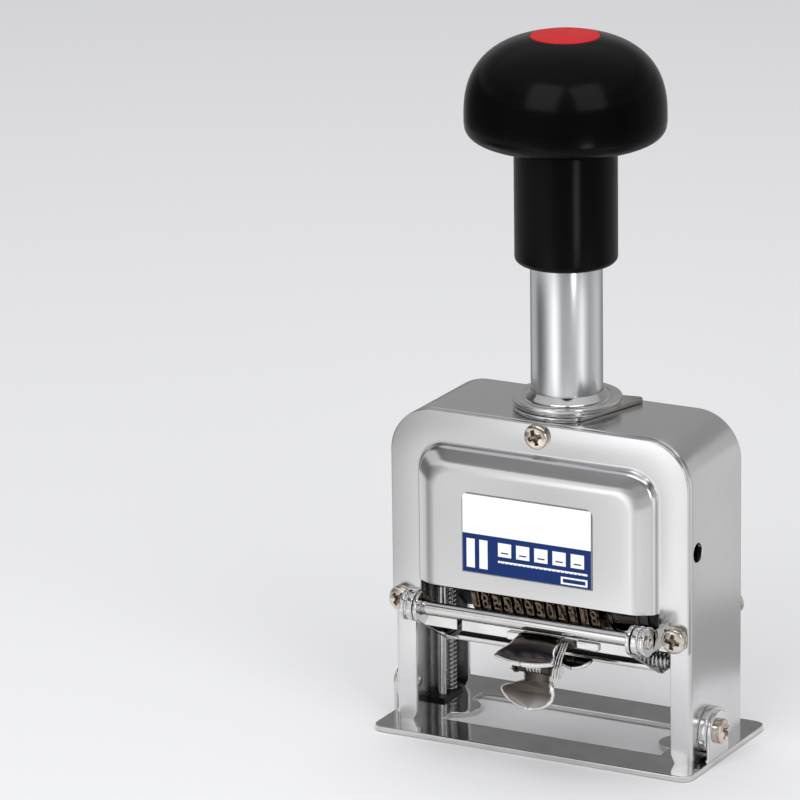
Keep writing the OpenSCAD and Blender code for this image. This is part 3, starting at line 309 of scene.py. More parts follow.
# Each finish: name, clean and marked colour, least and most roughness, the grain's scale and its depth
# in millimetres, and the marks' amount and scale.
# Near-black colour for faces deep inside the machine: painted shade, blended in by tone and by the inside
# box.
PAINTED_INSIDE_SHADE = (0.10, 0.098, 0.096)
MATERIAL = {
    # The frame's channel goes dark on its inner faces by its tone: painted shade.
    "satin_frame": finish_material(
        "satin nickel", (0.71, 0.71, 0.715), (0.65, 0.65, 0.655), (0.2, 0.3), 1500, 0.0012, 0.5, 35,
        toned=PAINTED_INSIDE_SHADE),
    # The cover finish goes dark on the dome's inner wall by its tone, and on the rear plate's inner face by
    # the inside box: painted shade.
    "satin_cover": finish_material(
        "pressed cover nickel", (0.68, 0.68, 0.69), (0.63, 0.63, 0.64), (0.16, 0.26), 1500, 0.001, 0.45, 30,
        toned=PAINTED_INSIDE_SHADE, inside=(PAINTED_INSIDE_SHADE, (0, 0, 0.06), (0.05, 0.0145, 0.04))),
    "polished": finish_material(
        "polished nickel", (0.72, 0.715, 0.71), (0.52, 0.51, 0.5), (0.05, 0.16), 900, 0.0012, 0.6, 90,
        toned=(0.2, 0.16, 0.13)),
    # Screw heads blend to near black by their tone in the recess and at the rim: painted shade.
    "screw_nickel": finish_material(
        "warm screw nickel", (0.78, 0.71, 0.63), (0.5, 0.42, 0.34), (0.1, 0.24), 1400, 0.002, 0.8, 400,
        toned=(0.035, 0.027, 0.02)),
    # Dark steel blends to pale grey by its tone along the tab rims and on the spoon's lower third: painted
    # highlight.
    "dark_steel": finish_material(
        "dark polished steel", (0.08, 0.068, 0.06), (0.03, 0.026, 0.023), (0.08, 0.24), 900, 0.0015, 0.8, 140,
        toned=(0.85, 0.84, 0.83)),
    # Spring steel goes near black inside the frame above about 34 mm, within the inside box: painted shade.
    "spring_steel": finish_material(
        "spring steel", (0.68, 0.68, 0.68), (0.4, 0.39, 0.38), (0.12, 0.26), 2000, 0.001, 0.6, 200,
        inside=((0.05, 0.048, 0.046), (0, 0, 0.075), (0.0443, 0.0152, 0.041))),
    "tube_steel": finish_material(
        "satin tube", (0.68, 0.69, 0.71), (0.64, 0.65, 0.67), (0.16, 0.24), (300, 300, 4000), 0.0006,
        0.35, 40),
    "type_metal": finish_material(
        "dark type metal", (0.22, 0.17, 0.12), (0.012, 0.01, 0.008), (0.1, 0.36), 1600, 0.03, 1.0, 900),
    "handle_black": finish_material(
        "gloss black handle", (0.0018, 0.0018, 0.0018), (0.0026, 0.0026, 0.0026), (0.17, 0.23), 400, 0.0006,
        0.4, 50, metallic=0.0, specular=0.08),
    "disc_red": finish_material(
        "red disc", (0.54, 0.015, 0.019), (0.49, 0.013, 0.016), (0.4, 0.5), 1500, 0.003, 0.4, 90,
        metallic=0.0, specular=0.1),
    "label_film": label_material(),
    "felt": finish_material(
        "inked felt", (0.014, 0.011, 0.016), (0.006, 0.005, 0.007), (0.75, 0.95), 2500, 0.12, 0.8, 150,
        metallic=0.0, specular=0.2),
}
# Near-black steel for parts deep inside the machine: painted shade for the dark inside.
SHADE_BLACK_STEEL = finish_material("shade darkened steel", (0.03, 0.03, 0.031), (0.015, 0.015, 0.015), (0.25, 0.45), 900,
                            0.002, 0.7, 200)

# ------------------------------------------------------------------ shapes


def quads(rows, columns, wrap_rows=False, wrap_columns=False):
    """Four-sided faces of a grid; a wrapped side joins its last line of points to its first."""
    r = np.arange(rows if wrap_rows else rows - 1)[:, None]
    c = np.arange(columns if wrap_columns else columns - 1)[None, :]
    r2, c2 = (r + 1) % rows, (c + 1) % columns
    corners = (r * columns + c, r * columns + c2, r2 * columns + c2, r2 * columns + c)
    return np.stack(np.broadcast_arrays(*corners), -1).reshape(-1, 4)


class Shell:
    """Points in millimetres and faces of one piece, gathered from several surfaces.  A point's tone
    runs from 0 to 1, and a material may blend to its second finish by it."""

    def __init__(self):
        self.points, self.tones, self.faces, self.count = [], [], [], 0

    def add(self, points, faces, tone=0.0):
        points = np.asarray(points, float).reshape(-1, 3)
        if isinstance(faces, np.ndarray):
            self.faces += (faces + self.count).tolist()
        else:
            self.faces += [[i + self.count for i in face] for face in faces]
        self.points.append(points)
        self.tones.append(np.broadcast_to(np.asarray(tone, float).ravel(), len(points)))
        self.count += len(points)
        return self

    def sheet(self, grid, wrap_rows=False, wrap_columns=False, caps=False, tone=0.0, kept=slice(None)):
        """Grid of points (rows, columns, 3) with the faces that are kept; caps close its first and
        last row with one face each."""
        rows, columns = grid.shape[:2]
        start = self.count
        self.add(grid, quads(rows, columns, wrap_rows, wrap_columns)[kept], tone)
        if caps:
            self.faces.append(list(range(start, start + columns))[::-1])
            last = start + (rows - 1) * columns
            self.faces.append(list(range(last, last + columns)))
        return self


def make_piece(name, shell, node, slot=None, stands_for=None, sharp=38, bevel=0.0, flat=False):
    """Fills a mesh from a shell, joins doubles, turns the faces outwards, gives it its finish, and
    lets it ride with the body of the given CAD node.  Without other word it has the node's slot and
    stands for that node.  A flat piece's large faces lead its shading."""
    slot = slot or SLOT[node]
    stands_for = (node,) if stands_for is None else stands_for
    mesh = bpy.data.meshes.new(name)
    points = np.concatenate(shell.points) * MM
    mesh.from_pydata(points.tolist(), [], shell.faces)
    tones = np.concatenate(shell.tones)
    if tones.any():
        mesh.attributes.new("tone", "FLOAT", "POINT").data.foreach_set("value", tones.astype(np.float32))
    sweep = bmesh.new()
    sweep.from_mesh(mesh)
    bmesh.ops.remove_doubles(sweep, verts=sweep.verts, dist=1e-6)
    bmesh.ops.dissolve_degenerate(sweep, edges=sweep.edges, dist=1e-7)
    bmesh.ops.recalc_face_normals(sweep, faces=sweep.faces)
    piece = swept_object(name, mesh, sweep, sharp, MATERIAL[slot])
    if bevel:
        soften(piece, bevel)
    if flat:
        even = piece.modifiers.new("even shading", "WEIGHTED_NORMAL")
        even.mode, even.weight, even.keep_sharp = "FACE_AREA", 100, True
    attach(piece, BODY[node])
    if stands_for:
        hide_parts(*stands_for)
    return piece


def swept_object(name, mesh, sweep, sharp, material):
    """Object of a mesh that was swept clean, smooth but for edges sharper than the given degrees."""
    sweep.to_mesh(mesh)
    sweep.free()
    mesh.shade_smooth()
    mesh.set_sharp_from_angle(angle=math.radians(sharp))
    mesh.materials.clear()
    mesh.materials.append(material)
    return new_object(name, mesh)


def soften(piece, width):
    """Small round along the sharp edges of a piece."""
    edge = piece.modifiers.new("edge round", "BEVEL")
    edge.width, edge.segments = width * MM, 2
    edge.limit_method, edge.angle_limit = "ANGLE", math.radians(42)
    edge.harden_normals = True


# CAD parts inside the machine and at its foot that take the near-black steel as painted shade.
SHADE_DARKENED_NODES = ("foot_blocks", "tie_bars", "carriage_yoke", "bush_nut", "yoke_bolt", "shaft_clips", "pawl_arms")


def dressed(node):
    """Copy of a CAD node with doubles joined and flat faces made one, and its edges rounded."""
    slot = SLOT[node]
    sweep = bmesh.new()
    sweep.from_mesh(frame["nodes"][node].data)
    bmesh.ops.remove_doubles(sweep, verts=sweep.verts, dist=2e-6)
    bmesh.ops.dissolve_limit(sweep, angle_limit=math.radians(0.8), verts=sweep.verts, edges=sweep.edges)
    name = node + "_dressed"
    piece = swept_object(name, bpy.data.meshes.new(name), sweep, 35,
                         SHADE_BLACK_STEEL if node in SHADE_DARKENED_NODES else MATERIAL[slot])
    soften(piece, 0.12)
    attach(piece, BODY[node])
    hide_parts(node)


def rounded(corners, radii, steps=6, closed=True):
    """Outline whose corners become short curves (1-t)^2 a + 2 t (1-t) corner + t^2 b, where a and b
    lie on the two legs at the corner's radius."""
    c = np.array(corners, float)
    r = np.broadcast_to(np.asarray(radii, float), len(c))[:, None]
    to_last, to_next = np.roll(c, 1, 0) - c, np.roll(c, -1, 0) - c
    reach_last = np.linalg.norm(to_last, axis=1, keepdims=True)
    reach_next = np.linalg.norm(to_next, axis=1, keepdims=True)
    a = c + to_last / reach_last * np.minimum(r, reach_last * 0.5)
    b = c + to_next / reach_next * np.minimum(r, reach_next * 0.5)
    t = np.linspace(0, 1, steps + 1)[None, :, None]
    curve = (1 - t) ** 2 * a[:, None] + 2 * t * (1 - t) * c[:, None] + t ** 2 * b[:, None]
    if closed:
        return curve.reshape(-1, c.shape[1])
    return np.concatenate([c[:1], curve[1:-1].reshape(-1, c.shape[1]), c[-1:]])


def unit(v):
    return v / np.maximum(np.linalg.norm(v, axis=-1, keepdims=True), 1e-9)


def around(count):
    """Even angles round a circle."""
    return np.linspace(0, 2 * np.pi, count, endpoint=False)


def across(direction):
    """Unit vectors u, v, w, where w is the direction and u and v lie across it."""
    w = unit(np.array(direction, float))
    u = unit(np.cross([0, 0, 1] if abs(w[2]) < 0.9 else [1, 0, 0], w))
    return u, np.cross(w, u), w


def turned(profile, at=(0, 0, 0), along=(0, 0, 1), turns=96, ring=False):
    """Shell of a profile of (radius, height) carried round an axis: at + h w + r (u cos a + v sin a).
    A ring's profile is a closed loop."""
    u, v, w = across(along)
    p, a = np.array(profile, float), around(turns)
    spokes = np.cos(a)[:, None] * u + np.sin(a)[:, None] * v
    grid = np.array(at, float) + p[:, None, 1:2] * w + p[:, None, 0:1] * spokes[None]
    return Shell().sheet(grid, ring, True)


def peg(radius, low, high, low_edge, high_edge):
    """Profile of a solid peg, open at the axis."""
    return rounded([(0, low), (radius, low), (radius, high), (0, high)], [0, low_edge, high_edge, 0],
                   closed=False)


def sleeve(inner, outer, low, high, edge):
    """Closed profile of a plain ring with its outer edges rounded."""
    return rounded([(inner, low), (outer, low), (outer, high), (inner, high)], [0.1, edge, edge, 0.1])


def arch_line(half, top, radius, bottom, rows=None, bend=16):
    """Points (x, z) up the left side, round its corner, across, and down the right side."""
    rows = np.linspace(0, 1, 9) if rows is None else np.asarray(rows)
    rise = bottom + rows * (top - radius - bottom)
    left = np.stack([np.full(len(rise), -half), rise], -1)
    a = np.linspace(0, np.pi / 2, bend + 1)[1:]
    corner = np.stack([-half + radius - radius * np.cos(a), top - radius + radius * np.sin(a)], -1)
    line = np.concatenate([left, corner])
    return np.concatenate([line, line[::-1] * [-1, 1]])


def slab(outline, low, high, edge, place, steps=3):
    """Flat piece between two heights: the closed outline moves inwards by e (1 - sin a) while the
    height goes e (1 - cos a) from each face.  place turns (u, v, height) into (x, y, z)."""
    p = np.array(outline, float)
    if np.sum(p[:, 0] * np.roll(p[:, 1], -1) - np.roll(p[:, 0], -1) * p[:, 1]) < 0:
        p = p[::-1]
    ahead = unit(np.roll(p, -1, 0) - p)
    middle = unit(ahead + np.roll(ahead, 1, 0))
    lean = np.sum(middle * ahead, 1, keepdims=True)
    inward = np.stack([-middle[:, 1], middle[:, 0]], -1) / np.maximum(lean, 0.5)
    a = np.linspace(0, np.pi / 2, steps + 1)
    inset, rise = edge * (1 - np.sin(a)), edge * (1 - np.cos(a))
    insets = np.concatenate([inset, inset[::-1]])
    heights = np.concatenate([low + rise, high - rise[::-1]])
    flat = p[None] + inward[None] * insets[:, None, None]
    grid = place(flat[..., 0], flat[..., 1], np.broadcast_to(heights[:, None], flat.shape[:2]))
    return Shell().sheet(np.stack(grid, -1), False, True, caps=True)


def facing_front(u, v, h):
    """Outline in X and Z, heights towards the front."""
    return u, -h, v


def facing_side(u, v, h):
    """Outline in Y and Z, heights along X."""
    return h, u, v


def facing_up(u, v, h):
    return u, v, h


def cut_plate(loops, low, high, edge, place):
    """Flat piece with holes: a filled flat curve of closed loops, made a mesh before it is placed."""
    curve = bpy.data.curves.new("plate", "CURVE")
    curve.dimensions, curve.fill_mode = "2D", "BOTH"
    curve.extrude = (high - low) / 2 - edge
    curve.bevel_depth, curve.bevel_resolution, curve.offset = edge, 1, -edge
    for loop in loops:
        line = curve.splines.new("POLY")
        line.points.add(len(loop) - 1)
        flat = np.zeros((len(loop), 4))
        flat[:, :2], flat[:, 3] = loop, 1
        line.points.foreach_set("co", flat.ravel())
        line.use_cyclic_u = True
    return baked(curve, lambda p: np.stack(place(p[:, 0], p[:, 1], p[:, 2] + (low + high) / 2), -1))


def baked(curve, change):
    """Shell of a curve or text, whose points go through the given change."""
    holder = new_object(curve.name, curve)
    bpy.context.view_layer.update()
    mesh = bpy.data.meshes.new_from_object(holder.evaluated_get(bpy.context.evaluated_depsgraph_get()))
    points = np.zeros(len(mesh.vertices) * 3)
    mesh.vertices.foreach_get("co", points)
    faces = [list(face.vertices) for face in mesh.polygons]
    bpy.data.objects.remove(holder)
    bpy.data.curves.remove(curve)
    bpy.data.meshes.remove(mesh)
    return Shell().add(change(points.reshape(-1, 3)), faces)


def joined(*shells):
    whole = Shell()
    for shell in shells:
        whole.add(np.concatenate(shell.points), shell.faces, np.concatenate(shell.tones))
    return whole


def circle(x, y, r, count):
    a = around(count)
    return np.stack([x + r * np.cos(a), y + r * np.sin(a)], -1)


def linked_circles(a, b, ra, rb, count=20):
    """Outline of the belt round two circles, from the first one's far side to the second's."""
    a, b = np.array(a, float), np.array(b, float)
    d = b - a
    turn, lean = math.atan2(d[1], d[0]), math.acos((ra - rb) / np.linalg.norm(d))
    first = np.linspace(turn + lean, turn + 2 * np.pi - lean, count)
    second = np.linspace(turn - lean, turn + lean, count)
    return np.concatenate([np.stack([a[0] + ra * np.cos(first), a[1] + ra * np.sin(first)], -1),
                           np.stack([b[0] + rb * np.cos(second), b[1] + rb * np.sin(second)], -1)])


def box_line(x0, x1, y0, y1, r, steps=5):
    return rounded([(x0, y0), (x1, y0), (x1, y1), (x0, y1)], r, steps)


def strap(path, side, half, thick, edge=0.3, camber=0.0, spread=10, rim=0.0):
    """Bent strip: a rounded section, 2 half wide and thick deep, carried along a path.  side is the
    direction of its width, and camber lifts its edges by camber (a / half)^2.  Points nearer to the
    outline than the rim get a tone that fades over 0.3 mm; this tone is a painted highlight along the edge."""
    path, side = np.array(path, float), np.array(side, float)
    half = np.broadcast_to(np.asarray(half, float), len(path))
    lift = np.broadcast_to(camber, len(path))
    out = np.cross(unit(np.gradient(path, axis=0)), side)
    corner, run = np.linspace(0, np.pi / 2, 4), np.linspace(1, -1, spread)[1:-1]
    level, one = np.ones(len(run)), np.ones(len(corner))
    upper = np.stack([np.concatenate(row) for row in (
        (one, run, -one), (np.cos(corner), 0 * run, -np.sin(corner)),
        (one, level, one), (np.sin(corner), level, np.cos(corner)))])
    a, round_a, b, round_b = np.concatenate([upper, -upper], 1)
    width = a[None] * (half[:, None] - edge) + edge * round_a[None]
    bow = lift[:, None] * (width / np.maximum(half[:, None], 1e-6)) ** 2
    height = np.broadcast_to(b * (thick / 2 - edge) + edge * round_b, width.shape) + bow
    grid = path[:, None] + width[..., None] * side + height[..., None] * out[:, None]
    tone = 0.0
    if rim:
        along = np.concatenate([[0], np.cumsum(np.linalg.norm(np.diff(path, axis=0), axis=1))])
        line_w, line_s = np.concatenate([half, -half]), np.concatenate([along, along])
        gap = np.hypot(width[..., None] - line_w, along[:, None, None] - line_s).min(-1)
        tone = np.clip(1 - (gap - rim) / 0.3, 0, 1)
    return Shell().sheet(grid, False, True, caps=True, tone=tone)


def wire(path, radius, out, sides=8):
    """Round wire: a ring of points carried along a path; out is the ring's first direction."""
    path = np.array(path, float)
    ahead = unit(np.gradient(path, axis=0))
    out = np.broadcast_to(np.array(out, float), path.shape)
    out = unit(out - np.sum(out * ahead, 1, keepdims=True) * ahead)
    beside = np.cross(ahead, out)
    a = around(sides)
    grid = path[:, None] + radius * (np.cos(a)[None, :, None] * out[:, None]
                                     + np.sin(a)[None, :, None] * beside[:, None])
    return Shell().sheet(grid, False, True, caps=True)


def coil_path(r, turns, z0, z1):
    """Helix whose ends lie flat for 0.6 of a turn, with an even climb between them."""
    t = np.linspace(0, 1, int(turns * 24) + 1)
    ease = np.clip((t * turns - 0.6) / (turns - 1.2), 0, 1)
    a = 2 * np.pi * turns * t
    return np.stack([r * np.cos(a), r * np.sin(a), z0 + (z1 - z0) * ease], -1)


def pan_head(at, out, turn):
    """Screw head with a cross recess.  A square grid becomes a disc by x = u sqrt(1 - v^2 / 2) and
    y = v sqrt(1 - u^2 / 2); its crown is sin and cos of the distance, less the recess, which is two
    crossing arms and a wider bowl where they meet."""
    side, up, w = across(out)
    line = np.linspace(-1, 1, 81)
    u, v = np.meshgrid(line, line, indexing="ij")
    x, y = u * np.sqrt(1 - v * v / 2), v * np.sqrt(1 - u * u / 2)
    share = np.clip(np.hypot(x, y), 0, 1)
    far = HEAD_R * np.sin(share * np.pi / 2)
    scale = np.where(share > 1e-9, far / np.maximum(share, 1e-9), HEAD_R * np.pi / 2)
    x, y = x * scale, y * scale
    p = np.abs(math.cos(turn) * x + math.sin(turn) * y)
    q = np.abs(math.cos(turn) * y - math.sin(turn) * x)
    narrow, wide = np.minimum(p, q), np.maximum(p, q)
    arm = np.clip((0.62 - narrow) / 0.16, 0, 1) * np.clip((0.64 * HEAD_R - wide) / 0.3, 0, 1)
    bowl = np.clip((1.05 - wide) / 0.45, 0, 1) * np.clip((1.05 - narrow) / 0.45, 0, 1)
    sunk = np.maximum(arm * arm * (3 - 2 * arm) * (1 - 0.12 * wide), 0.85 * bowl)
    crown = HEAD_H * (RIM_SHARE + (1 - RIM_SHARE) * np.cos(share * np.pi / 2) ** 0.9 - RECESS * sunk)
    grid = np.array(at, float) + x[..., None] * side + y[..., None] * up + crown[..., None] * w
    # Tone of the head, near black in the cross recess and at the outer rim: painted shade.
    painted_shade = np.clip(1.15 * sunk - 0.1, 0, 1) * 0.85 + 0.5 * np.clip(far / HEAD_R * 14 - 13, 0, 1)
    return skirted(Shell().sheet(grid, tone=painted_shade), grid, lambda rim: rim - RIM_SHARE * HEAD_H * w)


def skirted(shell, grid, lowered):
    """Closes a shell below an open grid: a wall from the grid's outline to its lowered copy, and a
    floor across that."""
    rim = np.concatenate([grid[:-1, 0], grid[-1, :-1], grid[:0:-1, -1], grid[0, :0:-1]])
    foot = lowered(rim)
    shell.sheet(np.stack([rim, foot]), False, True)
    return shell.add(foot, [list(range(len(foot)))])


def screw(name, spots, out, node, length=3.0):
    """Screws of one node: pan heads on their seats with plain shanks behind them."""
    shank = [(0, 0.1), (1.5, 0.1), (1.5, -length), (1.2, -length - 0.2), (0, -length - 0.2)]
    parts = []
    for i, (spot, way) in enumerate(zip(spots, out)):
        parts += [pan_head(spot, way, 0.35 + 0.55 * i), turned(shank, spot, way, 24)]
    make_piece(name, joined(*parts), node, sharp=50)


# ------------------------------------------------------------------ frame and covers


def offset_arches(section, bottom, radius_at, rows=None, bend=16):
    """Section of (distance inside the frame's outline, y) carried round the arch.  Each section point
    follows its own arch, whose corner radius is radius_at(distance)."""
    lines = [arch_line(FRAME_W / 2 - d, FRAME_H - d, radius_at(d), bottom, rows, bend) for d, _ in section]
    grid = np.stack(lines, 1)
    y = np.broadcast_to(section[:, 1], grid.shape[:2])
    return np.stack([grid[..., 0], y, grid[..., 1]], -1)


def build_frame():
    """Channel bent round the arch.  Near the feet its lips reach less far in.  The face that holds
    the side hole is left out of both walls, and a fan from the hole's ring to its corners fills it."""
    y_hole, z_hole, r_hole = SIDE_HOLE
    cell_y, cell_z = ((middle - half, middle + half) for middle, half in zip((y_hole, z_hole), HOLE_CELL))
    y, inner = FRAME_D / 2, FRAME_D / 2 - SHEET
    corners = [(0, -y), (0, cell_y[1]), (0, y), (LIP, y), (LIP, inner), (SHEET, inner),
               (SHEET, cell_y[1]), (SHEET, -inner), (LIP, -inner), (LIP, -y)]
    section = rounded(corners, [1.3, 0, 1.3, 0.4, 0.4, 0.1, 0, 0.1, 0.4, 0.4])
    low, high = BASE_T, FRAME_H - FRAME_R
    heights = np.array([*(low + FOOT_CUT * np.linspace(0, 2, 5)), FOOT_TOP, 2 * FOOT_TOP, *cell_z, high])
    grid = offset_arches(section, low, lambda d: FRAME_R - d, (heights - low) / (high - low), 20)
    reach = LIP - FOOT_CUT * np.clip(1 - (grid[..., 2] - low) / (2 * FOOT_CUT), 0, 1)
    inside = np.broadcast_to(section[:, 0], grid.shape[:2])
    moved = np.where(inside > LIP_BEND,
                     LIP_BEND + (inside - LIP_BEND) * (reach - LIP_BEND) / (LIP - LIP_BEND), inside)
    grid[..., 0] += np.where(grid[..., 2] < FOOT_TOP, np.sign(grid[..., 0]) * (inside - moved), 0)
    centre = grid.reshape(-1, 3)[quads(*grid.shape[:2], False, True)].mean(1)
    cell = ((centre[:, 0] > FRAME_W / 2 - SHEET - 0.1) & (np.abs(centre[:, 2] - z_hole) < HOLE_CELL[1])
            & (np.abs(centre[:, 1] - y_hole) < HOLE_CELL[0] + 0.05))
    # Inner faces of the channel are toned towards the dark inside colour: 0.4 below 30 mm, rising to full
    # from 38 mm. This is painted shade.
    within = (section[:, 0] > SHEET - 0.15) & (np.abs(section[:, 1]) < inner + 0.05)
    tone = within * np.clip((grid[..., 2] - 30) / 8, 0.4, 1)
    shell = Shell().sheet(grid, False, True, caps=True, tone=tone, kept=~cell)
    count = 48
    quarter, step = count // 4, np.arange(count)
    fan = np.stack([count + step // quarter, step, (step + 1) % count], -1).tolist()
    ties = [[count + q, (q + 1) * quarter % count, count + (q + 1) % 4] for q in range(4)]
    face, back = FRAME_W / 2, FRAME_W / 2 - SHEET
    rings = np.stack([np.insert(circle(y_hole, z_hole, r, count), 0, x, axis=1)
                      for x, r in ((face, r_hole + 0.15), (face - 0.15, r_hole), (back, r_hole))])
    shell.sheet(rings, False, True)
    for x, ring in ((face, rings[0]), (back, rings[-1])):
        square = [(x, cell_y[i], cell_z[j]) for i, j in ((1, 1), (0, 1), (0, 0), (1, 0))]
        shell.add(np.concatenate([ring, square]), fan + ties)
    make_piece("arched_channel", shell, "outer_frame")


def build_front_cover():
    """Pressed cover: a flat border and a raised dome.  The dome's profile of (distance inside, y) is
    carried round arches whose corners tighten inwards, and its inner wall runs at the sheet's depth."""
    border = rounded([(0, FRONT), (BORDER + 0.1, FRONT), (BORDER + 0.1, COVER_FACE), (0, COVER_FACE)],
                     [0.1, 0.1, 0.35, 0.45])
    corner = lambda d: np.interp(d, [0, BORDER, BORDER + BEVEL_W, 24], [FRAME_R, DOME_R, 6.1, 2.5])
    shell = Shell().sheet(offset_arches(border, COVER_BOTTOM, corner), False, True, caps=True)
    low = COVER_FACE - SHOULDER
    profile = rounded([(BORDER - 0.7, COVER_FACE - 0.01), (BORDER, COVER_FACE - 0.01), (BORDER + 0.4, low),
                       (BORDER + BEVEL_W, DOME_FACE), (BORDER + BEVEL_W + 4, DOME_FACE)],
                      [0, 0.5, 0.9, 1.8, 0], 8, closed=False)
    ahead = unit(np.gradient(profile, axis=0))
    wall = profile + DOME_T * np.stack([-ahead[:, 1], ahead[:, 0]], -1)
    outer, inner = (offset_arches(line, DOME_BOTTOM, corner).transpose(1, 0, 2) for line in (profile, wall))
    # The inner wall takes the full tone, towards the dark inside colour: painted shade.
    dome = Shell().sheet(outer).sheet(inner, tone=1.0).sheet(np.stack([outer[0], inner[0]]))
    dome.sheet(np.stack([outer[:, 0], inner[:, 0]])).sheet(np.stack([outer[:, -1], inner[:, -1]]))
    for face in (outer[-1], inner[-1]):
        dome.add(face, [list(range(len(face)))])
    dome.add([outer[-1, 0], outer[-1, -1], inner[-1, -1], inner[-1, 0]], [[0, 1, 2, 3]])
    make_piece("pressed_cover", joined(shell, dome), "front_cover", bevel=0.18)


def build_label():
    x, width, z, height, thick = LABEL
    outline = arch_line(width / 2, z + height, 2, z, [0, 1], 6) + [x, 0]
    plate = slab(outline, -DOME_FACE, -DOME_FACE + thick, 0.08, facing_front)
    make_piece("label_plate", plate, "label", flat=True)


def build_rear_cover():
    outline = arch_line(FRAME_W / 2 - REAR_INSET, FRAME_H - REAR_INSET, FRAME_R - REAR_INSET,
                        COVER_BOTTOM, [0, 1])
    plate = slab(outline, -REAR_Y - REAR_T, -REAR_Y, 0.25, facing_front)
    make_piece("rear_plate", plate, "rear_cover", flat=True)


def build_rod_and_brackets():
    """Rod across the front; each bracket is a grooved ring on the rod, an arm and a rounded tab."""
    end = BRACKET_X + 0.4
    make_piece("front_rod", turned(peg(ROD_R, -end, end, 0.45, 0.45), (0, ROD_Y, ROD_Z), (1, 0, 0), 64),
               "hinge_rod")
    low, high = LOW_SCREW_Z - TAB_HALF, LOW_SCREW_Z + TAB_HALF
    bore, groove = ROD_R + ROD_GAP, RING_R - 0.7
    ring = rounded([(bore, 33.1), (RING_R, 33.1), (RING_R, 34.9), (groove, 35.1), (groove, 35.6),
                    (RING_R, 35.8), (RING_R, BRACKET_X), (bore, BRACKET_X)],
                   [0.1, 0.5, 0.35, 0.2, 0.2, 0.35, 0.5, 0.1])
    arm = rounded([(ROD_Y + 2.2, low), (-17.7, low), (-17.7, high), (ROD_Y + 2.2, high)], 0.3)
    a = np.linspace(-np.pi / 2, np.pi / 2, 24)
    lobe = np.stack([LOW_SCREW_X + TAB_HALF * np.cos(a), LOW_SCREW_Z + TAB_HALF * np.sin(a)], -1)
    tab = np.concatenate([[(35.95, high - 0.02), (35.95, low + 0.02)], lobe])
    for side, word in ((-1, "left"), (1, "right")):
        near, far = sorted((side * (BRACKET_X - BRACKET_T), side * BRACKET_X))
        bracket = joined(turned(ring, (0, ROD_Y, ROD_Z), (side, 0, 0), 64, ring=True),
                         slab(arm, near, far, 0.2, facing_side),
                         slab(tab * [side, 1], -COVER_FACE, -TAB_FACE, 0.25, facing_front))
        make_piece("rod_bracket_piece_" + word, bracket, "rod_bracket_" + word, flat=True)


def build_screws():
    def cover_spots(y, top_y, top_z):
        return [(0, top_y, top_z), (-LOW_SCREW_X, y, LOW_SCREW_Z), (LOW_SCREW_X, y, LOW_SCREW_Z)]

    screw("cover_screws", cover_spots(TAB_FACE, COVER_FACE, TOP_SCREW_Z), [(0, -1, 0)] * 3,
          "front_cover_screws")
    screw("rear_screws", cover_spots(-FRONT, -FRONT, REAR_SCREW_Z), [(0, 1, 0)] * 3, "rear_cover_screws", 2.2)
    screw("ear_screws", [(-BASE_W / 2, EAR_Y, EAR_Z), (BASE_W / 2, EAR_Y, EAR_Z)], [(-1, 0, 0), (1, 0, 0)],
          "base_screws", 4.9)


# ------------------------------------------------------------------ base


def build_base():
    """Plate with its window, and an ear bent up at each end: a strap whose half width follows the
    ear's circle sqrt(r^2 - (z - z0)^2) near its top."""
    beyond = 0.5                            # how far the nose's centre lies beyond the window's end
    half = math.acos(beyond / NOSE_R)
    a = np.linspace(np.pi - half, np.pi + half, 24)
    right = np.stack([WINDOW_X + beyond + NOSE_R * np.cos(a),
                      (WINDOW_FRONT + WINDOW_REAR) / 2 + NOSE_R * np.sin(a)], -1)
    window = np.concatenate([right, rounded([(WINDOW_X, WINDOW_FRONT), (-WINDOW_X, WINDOW_FRONT)], 0.0, 1),
                             (right * [-1, 1])[::-1],
                             rounded([(-WINDOW_X, WINDOW_REAR), (WINDOW_X, WINDOW_REAR)], 0.0, 1)])
    plate = cut_plate([box_line(-BASE_W / 2, BASE_W / 2, -BASE_D / 2, BASE_D / 2, BASE_R * 1.3), window],
                      0, BASE_T, 0.35, facing_up)
    bend = 1.4
    x0, z0 = BASE_W / 2 - EAR_T / 2 - bend, BASE_T - EAR_T / 2 + bend
    curl = [(x0 + bend * math.sin(t), z0 - bend * math.cos(t)) for t in np.linspace(0, np.pi / 2, 9)]
    rise = [(x0 + bend, z) for z in np.linspace(z0 + 0.6, EAR_Z + EAR_R - 0.25, 22)]
    x, z = np.array([(x0 - 3, z0 - bend)] + curl + rise).T
    half_w = np.where(z > EAR_Z, np.sqrt(np.maximum(EAR_R ** 2 - (z - EAR_Z) ** 2, 0.2)), EAR_R)
    ears = [strap(np.stack([side * x, np.full(len(x), EAR_Y), z], -1), (0, 1, 0), half_w, EAR_T)
            for side in (-1, 1)]
    make_piece("base_and_ears", joined(plate, *ears), "base_plate", flat=True)
    profile = sleeve(1.55, SPACER_R, FRAME_W / 2, BASE_W / 2 - EAR_T, 0.5)
    for side, word in ((-1, "left"), (1, "right")):
        make_piece("spacer_" + word, turned(profile, (0, EAR_Y, EAR_Z), (side, 0, 0), 72, ring=True),
                   "base_spacers")


# ------------------------------------------------------------------ plunger, collar and handle


def knob_height(r, upper):
    """Superellipse of the mushroom's upper or lower half: (r / R)^p + (h / H)^p = 1."""
    rise, power = (KNOB_RISE, UPPER_POWER) if upper else (-KNOB_DROP, LOWER_POWER)
    return KNOB_MID + rise * (1 - (r / KNOB_R) ** power) ** (1 / power)


